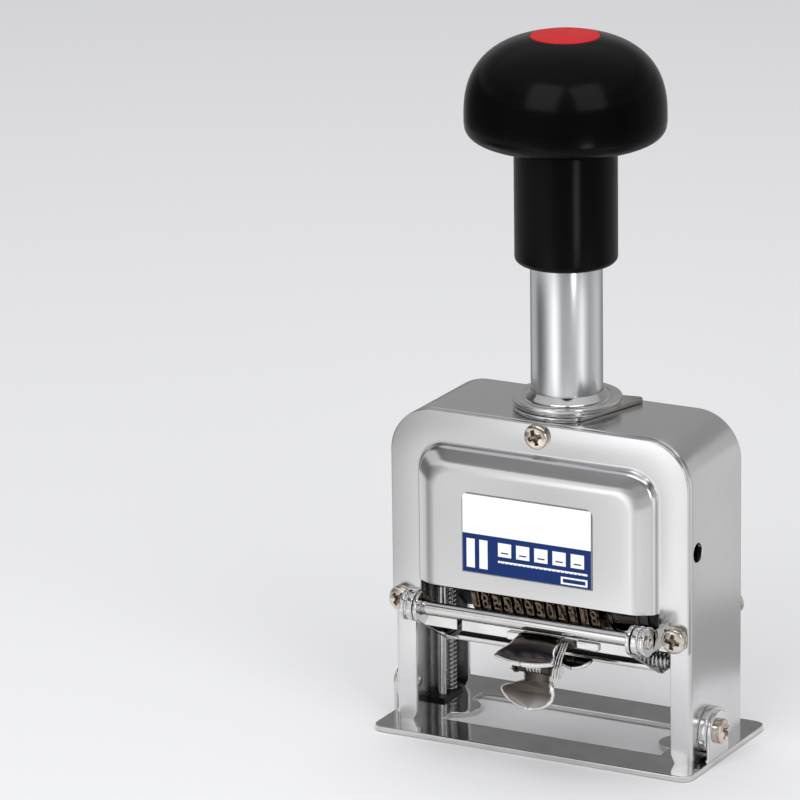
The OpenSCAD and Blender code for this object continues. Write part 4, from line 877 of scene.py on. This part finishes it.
def build_handle():
    """Turned mushroom with its sleeve; the radius goes with sin and cos of the step."""
    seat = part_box("red_disc")[0][2] / MM
    well_r, bore, bore_top = DISC_R + 0.05, TUBE_R + 0.05, TUBE_TOP + 0.2
    t = np.linspace(0, np.pi / 2, 44)
    over = well_r + (KNOB_R - well_r) * np.sin(t)
    under = KNOB_R - (KNOB_R - SLEEVE_R) * (1 - np.cos(t[1:]))
    upper = np.stack([over, knob_height(np.minimum(over, KNOB_R - 1e-3), True)], -1)
    lower = np.stack([under, knob_height(np.minimum(under, KNOB_R - 1e-3), False)], -1)
    well = rounded([(0, seat - 0.1), (well_r, seat - 0.1), (well_r, upper[0, 1]), tuple(upper[1])],
                   [0, 0.05, 0.25, 0], closed=False)[:-1]
    neck_top = lower[-1, 1]
    neck = rounded([tuple(lower[-1] + [0, 1]), (SLEEVE_R, neck_top - 0.3),
                    (SLEEVE_R, SLEEVE_LOW + SLEEVE_EDGE), (SLEEVE_R - SLEEVE_EDGE, SLEEVE_LOW),
                    (bore, SLEEVE_LOW), (bore, bore_top), (0, bore_top)],
                   [0, 0.2, 0.7, 0.7, 0.3, 0.1, 0], closed=False)[1:]
    profile = np.concatenate([well, upper[1:], lower, neck[neck[:, 1] < neck_top - 0.05][:-2],
                              [(bore, bore_top), (0, bore_top)]])
    make_piece("mushroom_handle", turned(profile, turns=160), "handle_knob",
               stands_for=("handle_knob", "handle_screw"), sharp=40)
    make_piece("inset_disc", turned(peg(DISC_R, seat, seat + DISC_T, 0.1, 0.3)), "red_disc")


def build_tube_and_collar():
    """Tube, the collar that guides it, and the pointed plate that turns under the collar.  The plate's
    point is drawn along its own axis and then turned by 40 degrees."""
    tube = sleeve(TUBE_R - 1.6, TUBE_R, TUBE_LOW, TUBE_TOP, 0.3)
    make_piece("satin_tube", turned(tube, turns=128, ring=True), "plunger_tube")
    low, top, bore = 93.8, 96.2, TUBE_R + 0.06
    collar = rounded([(bore, 84.6), (11.2, 84.6), (11.2, 92.4), (12.2, 92.4), (12.2, low),
                      (14.5, low), (14.6, low + 0.65), (14.1, low + 0.75), (14.1, low + 0.95),
                      (15.0, low + 1.1), (15.0, top), (12.75, top - 0.12), (12.5, top - 0.4),
                      (12.1, top - 0.4), (11.9, top + 0.1), (TUBE_R + 0.3, top + 1.8), (bore, top + 1.8)],
                     [0.1, 0.3, 0.1, 0.1, 0.1, 0.3, 0.1, 0.1, 0.1, 0.35, 0.45, 0.1, 0.1, 0.1, 0.4, 0.15, 0.1])
    make_piece("dished_collar", turned(collar, turns=128, ring=True), "top_bush")
    cos, sin = math.cos(math.radians(40)), math.sin(math.radians(40))
    ring = circle(0, 0, 14.8, 96) @ np.array([[cos, -sin], [sin, cos]])
    point = rounded([(0, -13.8), (21, -1), (21, 1), (0, 13.8)], [0, 0.6, 0.6, 0], closed=False)
    spread = np.concatenate([ring[ring[:, 0] < 0.5], point])
    spread = spread[np.argsort(np.arctan2(spread[:, 1], spread[:, 0]))]
    outline = spread @ np.array([[cos, sin], [-sin, cos]])
    plate = cut_plate([outline, circle(0, 0, 12.27, 96)], LEVER_Z, LEVER_Z + LEVER_T, 0.2, facing_up)
    far = np.hypot(*plate.points[0][:, :2].T)
    plate.tones = [np.clip((far - 14.5) / 4, 0, 0.75)]
    make_piece("lever_plate", plate, "lock_lever", flat=True)


# ------------------------------------------------------------------ type wheels


def digit_shell(number):
    """One raised digit, 4.8 mm high: its text is made a mesh and then fitted to the type's box."""
    text = bpy.data.curves.new("digit", "FONT")
    text.body, text.extrude, text.bevel_depth, text.bevel_resolution = str(number), 0.02, 0.006, 0
    text.resolution_u = 3

    def fit(p):
        low, high = p.min(0), p.max(0)
        wide = DIGIT_W if number != 1 else 1.1
        flat = (p - (low + high) / 2) / (high - low)
        return flat * [wide, DIGIT_H, RELIEF + 0.3] + [0, 0, (RELIEF - 0.3) / 2]

    return baked(text, fit)


def build_wheels():
    """Ten-sided type rings with their ratchets.  A digit's point (x, y, h) on side k goes to
    x along the shaft, y along the side and flat radius + h outwards."""
    digits = [digit_shell(n) for n in range(10)]
    side = 2 * math.pi / 10
    start = np.arange(10) * side

    def round_shaft(r, a):
        return np.stack([r * np.sin(a), SHAFT_Z - r * np.cos(a)], -1)

    ratchet = round_shaft(np.tile([RATCHET_R - TOOTH, RATCHET_R, RATCHET_R - 0.2], 10),
                          (start[:, None] + np.radians([0, 4, 10])).ravel())
    ring = round_shaft(FLAT_R / math.cos(side / 2), start + side / 2)
    for i in range(12):
        x = WHEELS_LEFT + i * PITCH
        parts = [slab(rounded(ring, 0.35, 2), x, x + RING_W, 0.16, facing_side, 2),
                 slab(ratchet, x + RING_W - 0.1, x + RING_W + 0.8, 0.06, facing_side, 1)]
        for k in range(10):
            out = np.array([0, math.sin(k * side), -math.cos(k * side)])
            along = np.array([0, math.cos(k * side), math.sin(k * side)])
            glyph = digits[(k + 7 * i + 3) % 10]
            p = np.concatenate(glyph.points)
            placed = (np.array([x + RING_W / 2, 0, SHAFT_Z]) + p[:, :1] * [1, 0, 0] + p[:, 1:2] * along
                      + (FLAT_R + p[:, 2:3]) * out)
            parts.append(Shell().add(placed, glyph.faces))
        node = "type_wheel_%02d" % (i + 1)
        make_piece("digit_wheel_%02d" % (i + 1), joined(*parts), node, sharp=30, flat=True)


def build_drum():
    """Drum beside the wheels, with a lip at its left end and another near its right end."""
    left, right, second, lip = 16.5, 28.4, 24.47, 1.31
    bore, body, rim = 2.6, 8.6, 9.2
    corners = [(bore, left), (rim, left), (rim, left + lip), (body, left + lip), (body, second),
               (rim, second), (rim, second + lip), (body, second + lip), (body, right), (bore, right)]
    profile = rounded(corners, [0.1, 0.2, 0.15, 0.1, 0.1, 0.15, 0.15, 0.1, 0.2, 0.1], 3)
    make_piece("side_drum", turned(profile, (0, 0, SHAFT_Z), (1, 0, 0), 72, ring=True), "end_drum")


# ------------------------------------------------------------------ springs


def build_springs():
    path = coil_path(SPRING_R, SPRING_TURNS, FOOT_Z + SPRING_WIRE, WING_Z - SPRING_WIRE)
    out = path * [1, 1, 0]
    for side, word in ((-1, "left"), (1, "right")):
        coil = wire(path + [side * GUIDE_X, SPRING_Y, 0], SPRING_WIRE, out)
        piece = make_piece("return_spring_" + word, coil, "leg_spring_" + word, sharp=80)
        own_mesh(piece)
    for name, node, coil, at, thick in (
            ("stud_coil", "stud_spring", (1.9, 4, 33.4, 37.0), (0, STUD_Y, STUD_Z), 0.3),
            ("tab_coil", "tab_spring", (1.75, 5, TAB_X - 1.9, TAB_X + 1.9), (0, PIN_Y, PIN_Z), 0.25)):
        path = coil_path(*coil)[:, [2, 0, 1]]
        make_piece(name, wire(path + at, thick, path * [0, 1, 1]), node, sharp=80)


# ------------------------------------------------------------------ pad cradle


def build_cradle():
    """Arms with their rings round the rod, the floor under the tray and the slotted front strip."""
    rod, toe = (ROD_Y, ROD_Z), (TRAY_FRONT + 1.5, FLOOR_Z + 2)
    belt = linked_circles(rod, toe, RING_R, 2, 32)
    ring_part, toe_part = belt[:32], belt[32:]
    heel = [(TRAY_FRONT + 1.6, FLOOR_Z), (TRAY_REAR - 0.6, FLOOR_Z), (TRAY_REAR, FLOOR_Z + 0.6),
            (TRAY_REAR, FLOOR_Z + 2.8), (TRAY_REAR - 0.6, FLOOR_Z + 3.4), (-6.5, FLOOR_Z + 3.4)]
    arm = np.concatenate([ring_part, toe_part[toe_part[:, 1] < FLOOR_Z + 0.6], heel])
    hole, end = circle(*rod, ROD_R + ROD_GAP, 40), CRADLE_X + ARM_T
    shells = [cut_plate([arm, hole], *sorted((side * CRADLE_X, side * end)), 0.22, facing_side)
              for side in (-1, 1)]
    floor = box_line(-CRADLE_X - 0.3, CRADLE_X + 0.3, TRAY_FRONT + 2, TRAY_REAR, 0.3, 3)
    shells.append(slab(floor, FLOOR_Z, FLOOR_Z + CRADLE_T, 0.2, facing_up))
    low, cut, slot_end = STRIP_TOP - STRIP_H, 1.2, SLOT_X + SLOT_W
    left = rounded([(-end, low + cut), (-end + cut, low), (SLOT_X, low), (SLOT_X, STRIP_TOP),
                    (-end, STRIP_TOP)], [0.4, 0.4, 0.2, 0.2, 0.5], 3)
    right = rounded([(slot_end, low), (end - cut, low), (end, low + cut), (end, STRIP_TOP),
                     (slot_end, STRIP_TOP)], [0.2, 0.4, 0.4, 0.5, 0.2], 3)
    for outline in (left, right):
        shells.append(slab(outline, -STRIP_Y - CRADLE_T, -STRIP_Y, 0.2, facing_front))
    stop = box_line(STOP_X, STOP_X + STOP_W, low + 0.4, STRIP_TOP - 0.4, 0.5)
    shells.append(slab(stop, -STRIP_Y - 0.05, -STRIP_Y + STOP_T, 0.4, facing_front))
    shells.append(turned(peg(1.2, 32.7, 37.6, 0, 0.3), (0, STUD_Y, STUD_Z), (1, 0, 0), 32))
    make_piece("pad_arms_and_strip", joined(*shells), "pad_cradle", flat=True)


def build_tray():
    """Open tray: rounded rectangles carried up the outside, over the rim and down to the floor."""
    wall = 0.8
    rows = [(0.35, 0.0), (0.1, 0.1), (0.0, 0.35), (0.0, TRAY_H - 0.35), (0.1, TRAY_H - 0.1),
            (0.3, TRAY_H), (0.5, TRAY_H), (0.7, TRAY_H - 0.08), (wall, TRAY_H - 0.2), (wall, wall + 0.12),
            (wall + 0.12, wall)]
    grid = np.stack([np.insert(box_line(-TRAY_X + d, TRAY_X - d, TRAY_FRONT + d, TRAY_REAR - d,
                                        max(1.4 - d, 0.4)), 2, TRAY_LOW + h, axis=1) for d, h in rows])
    make_piece("ink_tray", Shell().sheet(grid, False, True, caps=True), "pad_tray", flat=True)


def build_pad():
    """Felt block whose top is gently crowned: sqrt(1 - |x / X|^14) sqrt(1 - |y / Y|^9), with a little
    fuzz.  Its grid lines crowd together towards the rim by the sine of their step."""
    half_x, half_y, middle = 28.95, 7.45, (TRAY_FRONT + TRAY_REAR) / 2
    u, v = np.meshgrid(np.linspace(-1, 1, 90), np.linspace(-1, 1, 34), indexing="ij")
    bend = np.pi / 2 * 0.999
    x = half_x * np.sin(u * bend) / math.sin(bend)
    y = middle + half_y * np.sin(v * bend) / math.sin(bend)
    crown = (1 - np.abs(x / 29.0) ** 14) ** 0.5 * (1 - np.abs((y - middle) / 7.5) ** 9) ** 0.5
    fuzz = 0.03 * np.sin(x * 5.1 + 1.3 * np.sin(y * 3.7)) * np.sin(y * 6.3 + 1.1 * np.sin(x * 2.9))
    top = np.stack([x, y, TRAY_LOW + 0.85 + 2.9 * crown + fuzz * crown], -1)
    shell = skirted(Shell().sheet(top), top, lambda rim: rim * [1, 1, 0] + [0, 0, TRAY_LOW + 0.8])
    piece = make_piece("felt_pad", shell, "ink_pad", sharp=60)


# ------------------------------------------------------------------ thumb tabs


def sloping(distance, x, y, z, first, last):
    """Path that leaves (x, y, z) towards the front.  Its slope below the level goes evenly from first
    to last degrees, and its steps are the running sums of cos and sin of the slope."""
    slope = np.radians(first + (last - first) * distance / distance[-1])
    run, drop = (np.concatenate([[0], np.cumsum(np.diff(distance) * (part[1:] + part[:-1]) / 2)])
                 for part in (np.cos(slope), np.sin(slope)))
    return np.stack([np.full(len(distance), x), y - run, z - drop], -1)


def blade(start, length, reach, depth, marks, halves):
    """Distances and half widths of a blade: half widths run smoothly through the marks, and the front
    is part of an ellipse, whose distance at a half width h is length - d (1 - sqrt(1 - (h / r)^2))
    for its reach r across and its depth d along the blade."""
    wide = halves[-1]
    corner = length - depth * (1 - math.sqrt(1 - (wide / reach) ** 2))
    s = np.linspace(start, corner, 30)
    share = np.clip(np.searchsorted(marks, s, "right") - 1, 0, len(marks) - 2)
    m, h = np.array(marks, float), np.array(halves, float)
    t = np.clip((s - m[share]) / (m[share + 1] - m[share]), 0, 1)
    half = h[share] + (h[share + 1] - h[share]) * t * t * (3 - 2 * t)
    end = np.linspace(wide, TIP_HALF, 22)[1:]
    tip = length - depth * (1 - np.sqrt(1 - (end / reach) ** 2))
    return np.concatenate([s, tip]), np.concatenate([half, end])


def build_leaf():
    """Upper leaf with the flange that holds it, its ears round the pin, its side lobe and a tongue."""
    low, ear_x = STRIP_TOP - STRIP_H, TAB_X + EAR_X
    s, half = blade(0, LEAF_L, 21, 21, [0, LEAF_L * 0.35, LEAF_L * 0.82], [6.3, 6.9, LEAF_X])
    path = sloping(s, TAB_X, STRIP_Y - TAB_T / 2, STRIP_TOP - 0.75, LEAF_SLOPE - 5, LEAF_SLOPE + 7)
    # The leaf and its lobe get a bright rim by their tone: painted highlight.
    shells = [strap(path, (1, 0, 0), half, TAB_T, camber=-0.35, spread=30, rim=0.45)]
    flange = box_line(TAB_X - LOBE_R, TAB_X + FLANGE_X, low, STRIP_TOP - 0.8, 0.8)
    shells.append(slab(flange, -STRIP_Y, -STRIP_Y + TAB_T, 0.2, facing_front))
    ear = linked_circles((STRIP_Y - 1.4, low + 1.4), (PIN_Y, PIN_Z), 1.3, 2.4)
    hole = circle(PIN_Y, PIN_Z, PIN_GAP, 28)
    for x in (TAB_X - EAR_X, ear_x):
        shells.append(cut_plate([ear, hole], x - TAB_T / 2, x + TAB_T / 2, 0.18, facing_side))
    turn = np.linspace(0, np.pi / 2 - 0.03, 24)
    lobe = sloping(LOBE_R * np.sin(turn), TAB_X + FLANGE_X, -23.1, 30.1, 22, 22)
    shells.append(strap(lobe, (1, 0, 0), LOBE_R * np.cos(turn), TAB_T, spread=20, rim=0.4))
    tongue = box_line(ear_x - TAB_T / 2, ear_x + 4.5, -25.8, -23.2, 0.3)
    shells.append(slab(tongue, 29.5, 30.3, 0.2, facing_up))
    make_piece("upper_leaf", joined(*shells), "upper_tab", "dark_steel", flat=True)
    catch = box_line(TAB_X - FLANGE_X, TAB_X - 4.8, low + 0.1, STRIP_TOP - 0.7, 0.5)
    make_piece("catch_plate", slab(catch, -STRIP_Y - 0.05, -STRIP_Y + 1.3, 0.35, facing_front), "upper_tab",
               stands_for=(), flat=True)


def build_spoon():
    """Spoon for the thumb with its two curls round the pin.  It widens to the left only: its right
    edge is nearly straight.  Its lower third and its rim are painted brighter: painted highlight.  Wires run
    down beside the pin."""
    full = 7.4                              # distance at which the spoon reaches its full width
    s, half = blade(1.5, THUMB_L, THUMB_X + 0.05, 5.2, [1.5, 3.6, 6.9, full], [4.4, 4.4, 8.0, THUMB_X])
    path = sloping(s - 1.5, TAB_X, PIN_Y - 0.3, PIN_Z - 1.4, 66, 84)
    right_edge = np.interp(s, [3.4, 5.0, full], [5.1, 6.0, 6.2])
    path[:, 0] += np.where(s < full, right_edge - half, 6.2 - THUMB_X + 0.24 * (s - full))
    spoon = strap(path, (1, 0, 0), half, TAB_T, camber=-0.8, spread=30, rim=0.5)
    painted_lower_highlight = 0.3 * np.clip((20.3 - spoon.points[0][:, 2]) / 3.4, 0, 1)
    spoon.tones[0] = np.maximum(spoon.tones[0], painted_lower_highlight)
    shells = [spoon]
    for x in (TAB_X - 3.7, TAB_X + 3.7):
        curl = sleeve(PIN_GAP, 2.0, x - 1.2, x + 1.2, 0.3)
        shells.append(turned(curl, (0, PIN_Y, PIN_Z), (1, 0, 0), 40, ring=True))
    make_piece("thumb_tab", joined(*shells), "lower_tab", "dark_steel")
    line = rounded([(11.0, -25.2, 34.3), (11.2, -27.6, 32.6), (11.2, -30.2, 30.2), (11.0, -31.1, 27.4),
                    (10.8, -31.1, 25.7)], 1.6, 8, closed=False)
    wires = [wire(line + [0.8 * k, 0.1 * k, 0.2 * k], 0.31, (1, 0, 0), 12) for k in range(3)]
    make_piece("pin_wires", joined(*wires), "upper_tab", "spring_steel", (), sharp=80)


build_frame()
build_front_cover()
build_label()
build_rear_cover()
build_rod_and_brackets()
build_screws()
build_base()
build_handle()
build_tube_and_collar()
build_wheels()
build_drum()
build_springs()
build_cradle()
build_tray()
build_pad()
build_leaf()
build_spoon()
for cad_node in ("bush_nut", "foot_blocks", "guide_rods", "spring_rods", "tube_plugs", "yoke_bolt",
                 "carriage_yoke", "wheel_shaft", "shaft_clips", "end_spacer", "tie_bars", "detent_springs",
                 "pawl_arms", "pawl_bar", "feed_pawls", "tab_pin"):
    dressed(cad_node)

# ------------------------------------------------------------------ floor, light and background


def build_floor():
    """Large pale floor under the machine."""
    mesh = bpy.data.meshes.new("floor")
    corners = [(-9, -9, -0.0001), (9, -9, -0.0001), (9, 9, -0.0001), (-9, 9, -0.0001)]
    mesh.from_pydata(corners, [], [(0, 1, 2, 3)])
    material = bpy.data.materials.new("pale floor")
    material.use_nodes = True
    feed(material.node_tree.nodes["Principled BSDF"],
         {"Base Color": (0.8, 0.8, 0.81, 1), "Roughness": 0.9, "Specular IOR Level": 0.0})
    mesh.materials.append(material)
    floor = new_object("floor", mesh)
    floor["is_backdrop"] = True


def build_cards(name, low, high, marks):
    """Ring of soft reflector cards round the machine, which only its bright faces see, between two
    circles of (radius, height) in metres.  Their brightness follows the angle atan2(x, -y) round the
    upright axis through the marks of (degrees, brightness), and comes back to the first one."""
    n, m = 120, 5
    a, t = np.meshgrid(np.linspace(-np.pi, np.pi, n, endpoint=False), np.linspace(0, 1, m), indexing="xy")
    radius, h = low[0] + (high[0] - low[0]) * t, low[1] + (high[1] - low[1]) * t
    grid = np.stack([radius * np.sin(a), -radius * np.cos(a), h], -1)
    mesh = bpy.data.meshes.new(name)
    mesh.from_pydata(grid.reshape(-1, 3).tolist(), [], quads(m, n, False, True).tolist())
    material = bpy.data.materials.new(name)
    material.use_nodes = True
    material.cycles.emission_sampling = "NONE"
    tree = material.node_tree
    tree.nodes.remove(tree.nodes["Principled BSDF"])
    x, y, _ = add_node(tree, "SeparateXYZ", {0: add_node(tree, "TexCoord", output="Object")}).node.outputs
    behind = add_node(tree, "Math", {0: y, 1: -1.0}, operation="MULTIPLY")
    angle = add_node(tree, "Math", {0: x, 1: behind}, operation="ARCTAN2")
    share = add_node(tree, "MapRange", {"Value": angle, "From Min": -math.pi, "From Max": math.pi})
    ramp = add_node(tree, "ValToRGB", {0: share})
    edges = ramp.node.color_ramp.elements
    for degrees, grey in marks[1:]:
        edges.new((degrees + 180) / 360).color = (grey, grey, grey, 1)
    edges[0].color = edges[-1].color = (marks[0][1], marks[0][1], marks[0][1], 1)
    feed(tree.nodes["Material Output"], {"Surface": add_node(tree, "Emission", {"Color": ramp})})
    mesh.materials.append(material)
    cards = new_object(name, mesh)
    cards.visible_camera = cards.visible_diffuse = cards.visible_shadow = False
    cards.visible_transmission = cards.visible_volume_scatter = False
    cards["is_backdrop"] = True


def build_background():
    """Sky of soft grey by height only: bright at and below the horizon and overhead, dark at middle heights.
    """
    world = bpy.data.worlds.new("studio")
    bpy.context.scene.world = world
    world.use_nodes = True
    tree = world.node_tree
    height = add_node(tree, "TexCoord", output="Generated")
    height = add_node(tree, "SeparateXYZ", {0: height}, "Z")
    shade = add_node(tree, "ValToRGB", {0: height})
    marks = shade.node.color_ramp.elements
    marks[0].position, marks[0].color = 0.0, (0.7, 0.71, 0.73, 1)
    marks[1].position, marks[1].color = 1.0, (0.72, 0.73, 0.75, 1)
    for spot, grey in ((0.14, 0.5), (0.3, 0.3), (0.5, 0.28), (0.62, 0.5)):
        marks.new(spot).color = (grey, grey, grey * 1.03, 1)
    feed(tree.nodes["Background"], {"Color": shade, "Strength": 1.0})


def area_light(name, spot, aim, size, power):
    data = bpy.data.lights.new(name, "AREA")
    data.shape, data.size, data.size_y = "RECTANGLE", size[0], size[1]
    data.energy = power
    lamp = new_object(name, data)
    spot, aim = np.array(spot, float), np.array(aim, float)
    lamp.matrix_world = placed_at(*across(spot - aim), spot)
    return lamp


build_floor()
build_background()
build_cards("floor_cards", (0.09, 0.0003), (0.155, 0.0003),
            [(-180, 0.5), (-125, 0.5), (-105, 0.85), (-60, 0.9), (-42, 1.1), (-28, 1.15), (-11, 1.2),
             (6, 1.15), (30, 0.85), (90, 0.6), (115, 0.42), (150, 0.40)])
build_cards("cover_cards", (0.155, 0.0003), (0.155, 0.047),
            [(-180, 0.26), (-150, 0.18), (-125, 0.26), (-105, 1.0), (-85, 1.05), (-72, 0.5), (-58, 0.42),
             (-42, 0.70), (-32, 0.94), (-22, 0.74), (-15, 0.84), (-11, 1.2), (-6, 1.3), (2, 1.0), (14, 0.85),
             (34, 0.95), (52, 0.7), (64, 0.9), (76, 1.1), (88, 0.8), (102, 0.5), (125, 0.65), (140, 0.72),
             (160, 0.5)])
build_cards("tube_cards", (0.155, 0.047), (0.155, 0.09),
            [(-180, 0.24), (-150, 0.19), (-125, 0.26), (-105, 0.6), (-85, 0.5), (-72, 0.18), (-58, 0.18),
             (-42, 0.45), (-30, 0.85), (-22, 1.2), (-11, 1.7), (-2, 1.3), (8, 0.7), (14, 0.5), (34, 0.54),
             (52, 0.6), (64, 0.95), (76, 1.4), (88, 0.8), (102, 0.46), (125, 0.66), (140, 0.72), (160, 0.45)])
build_cards("middle_cards", (0.155, 0.09), (0.155, 0.132),
            [(-180, 0.36), (-125, 0.36), (-100, 0.5), (-60, 0.7), (-30, 0.95), (-11, 0.9), (2, 0.45),
             (30, 0.3), (42, 0.4), (45, 4.5), (53, 4.5), (57, 0.35), (100, 0.4), (130, 0.6)])
build_cards("high_cards", (0.16, 0.132), (0.16, 0.215),
            [(-180, 0.36), (-125, 0.36), (-100, 0.1), (-50, 0.12), (-30, 0.24), (-5, 0.15), (30, 0.08),
             (90, 0.1), (120, 0.3)])
area_light("left softbox", (-0.04, -1.04, 0.68), (0, 0, 0.12), (0.72, 1.4), 7)
area_light("right softbox", (0.88, -0.55, 0.68), (0, 0, 0.12), (0.7, 1.3), 5.5)
area_light("overhead", (-0.3, 0.3, 1.4), (0, 0, 0.08), (1.0, 1.0), 6).visible_glossy = False

scene = bpy.context.scene
scene.view_settings.view_transform = "Standard"
[[list(corner) for corner in box] for box in (cad_box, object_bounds())]
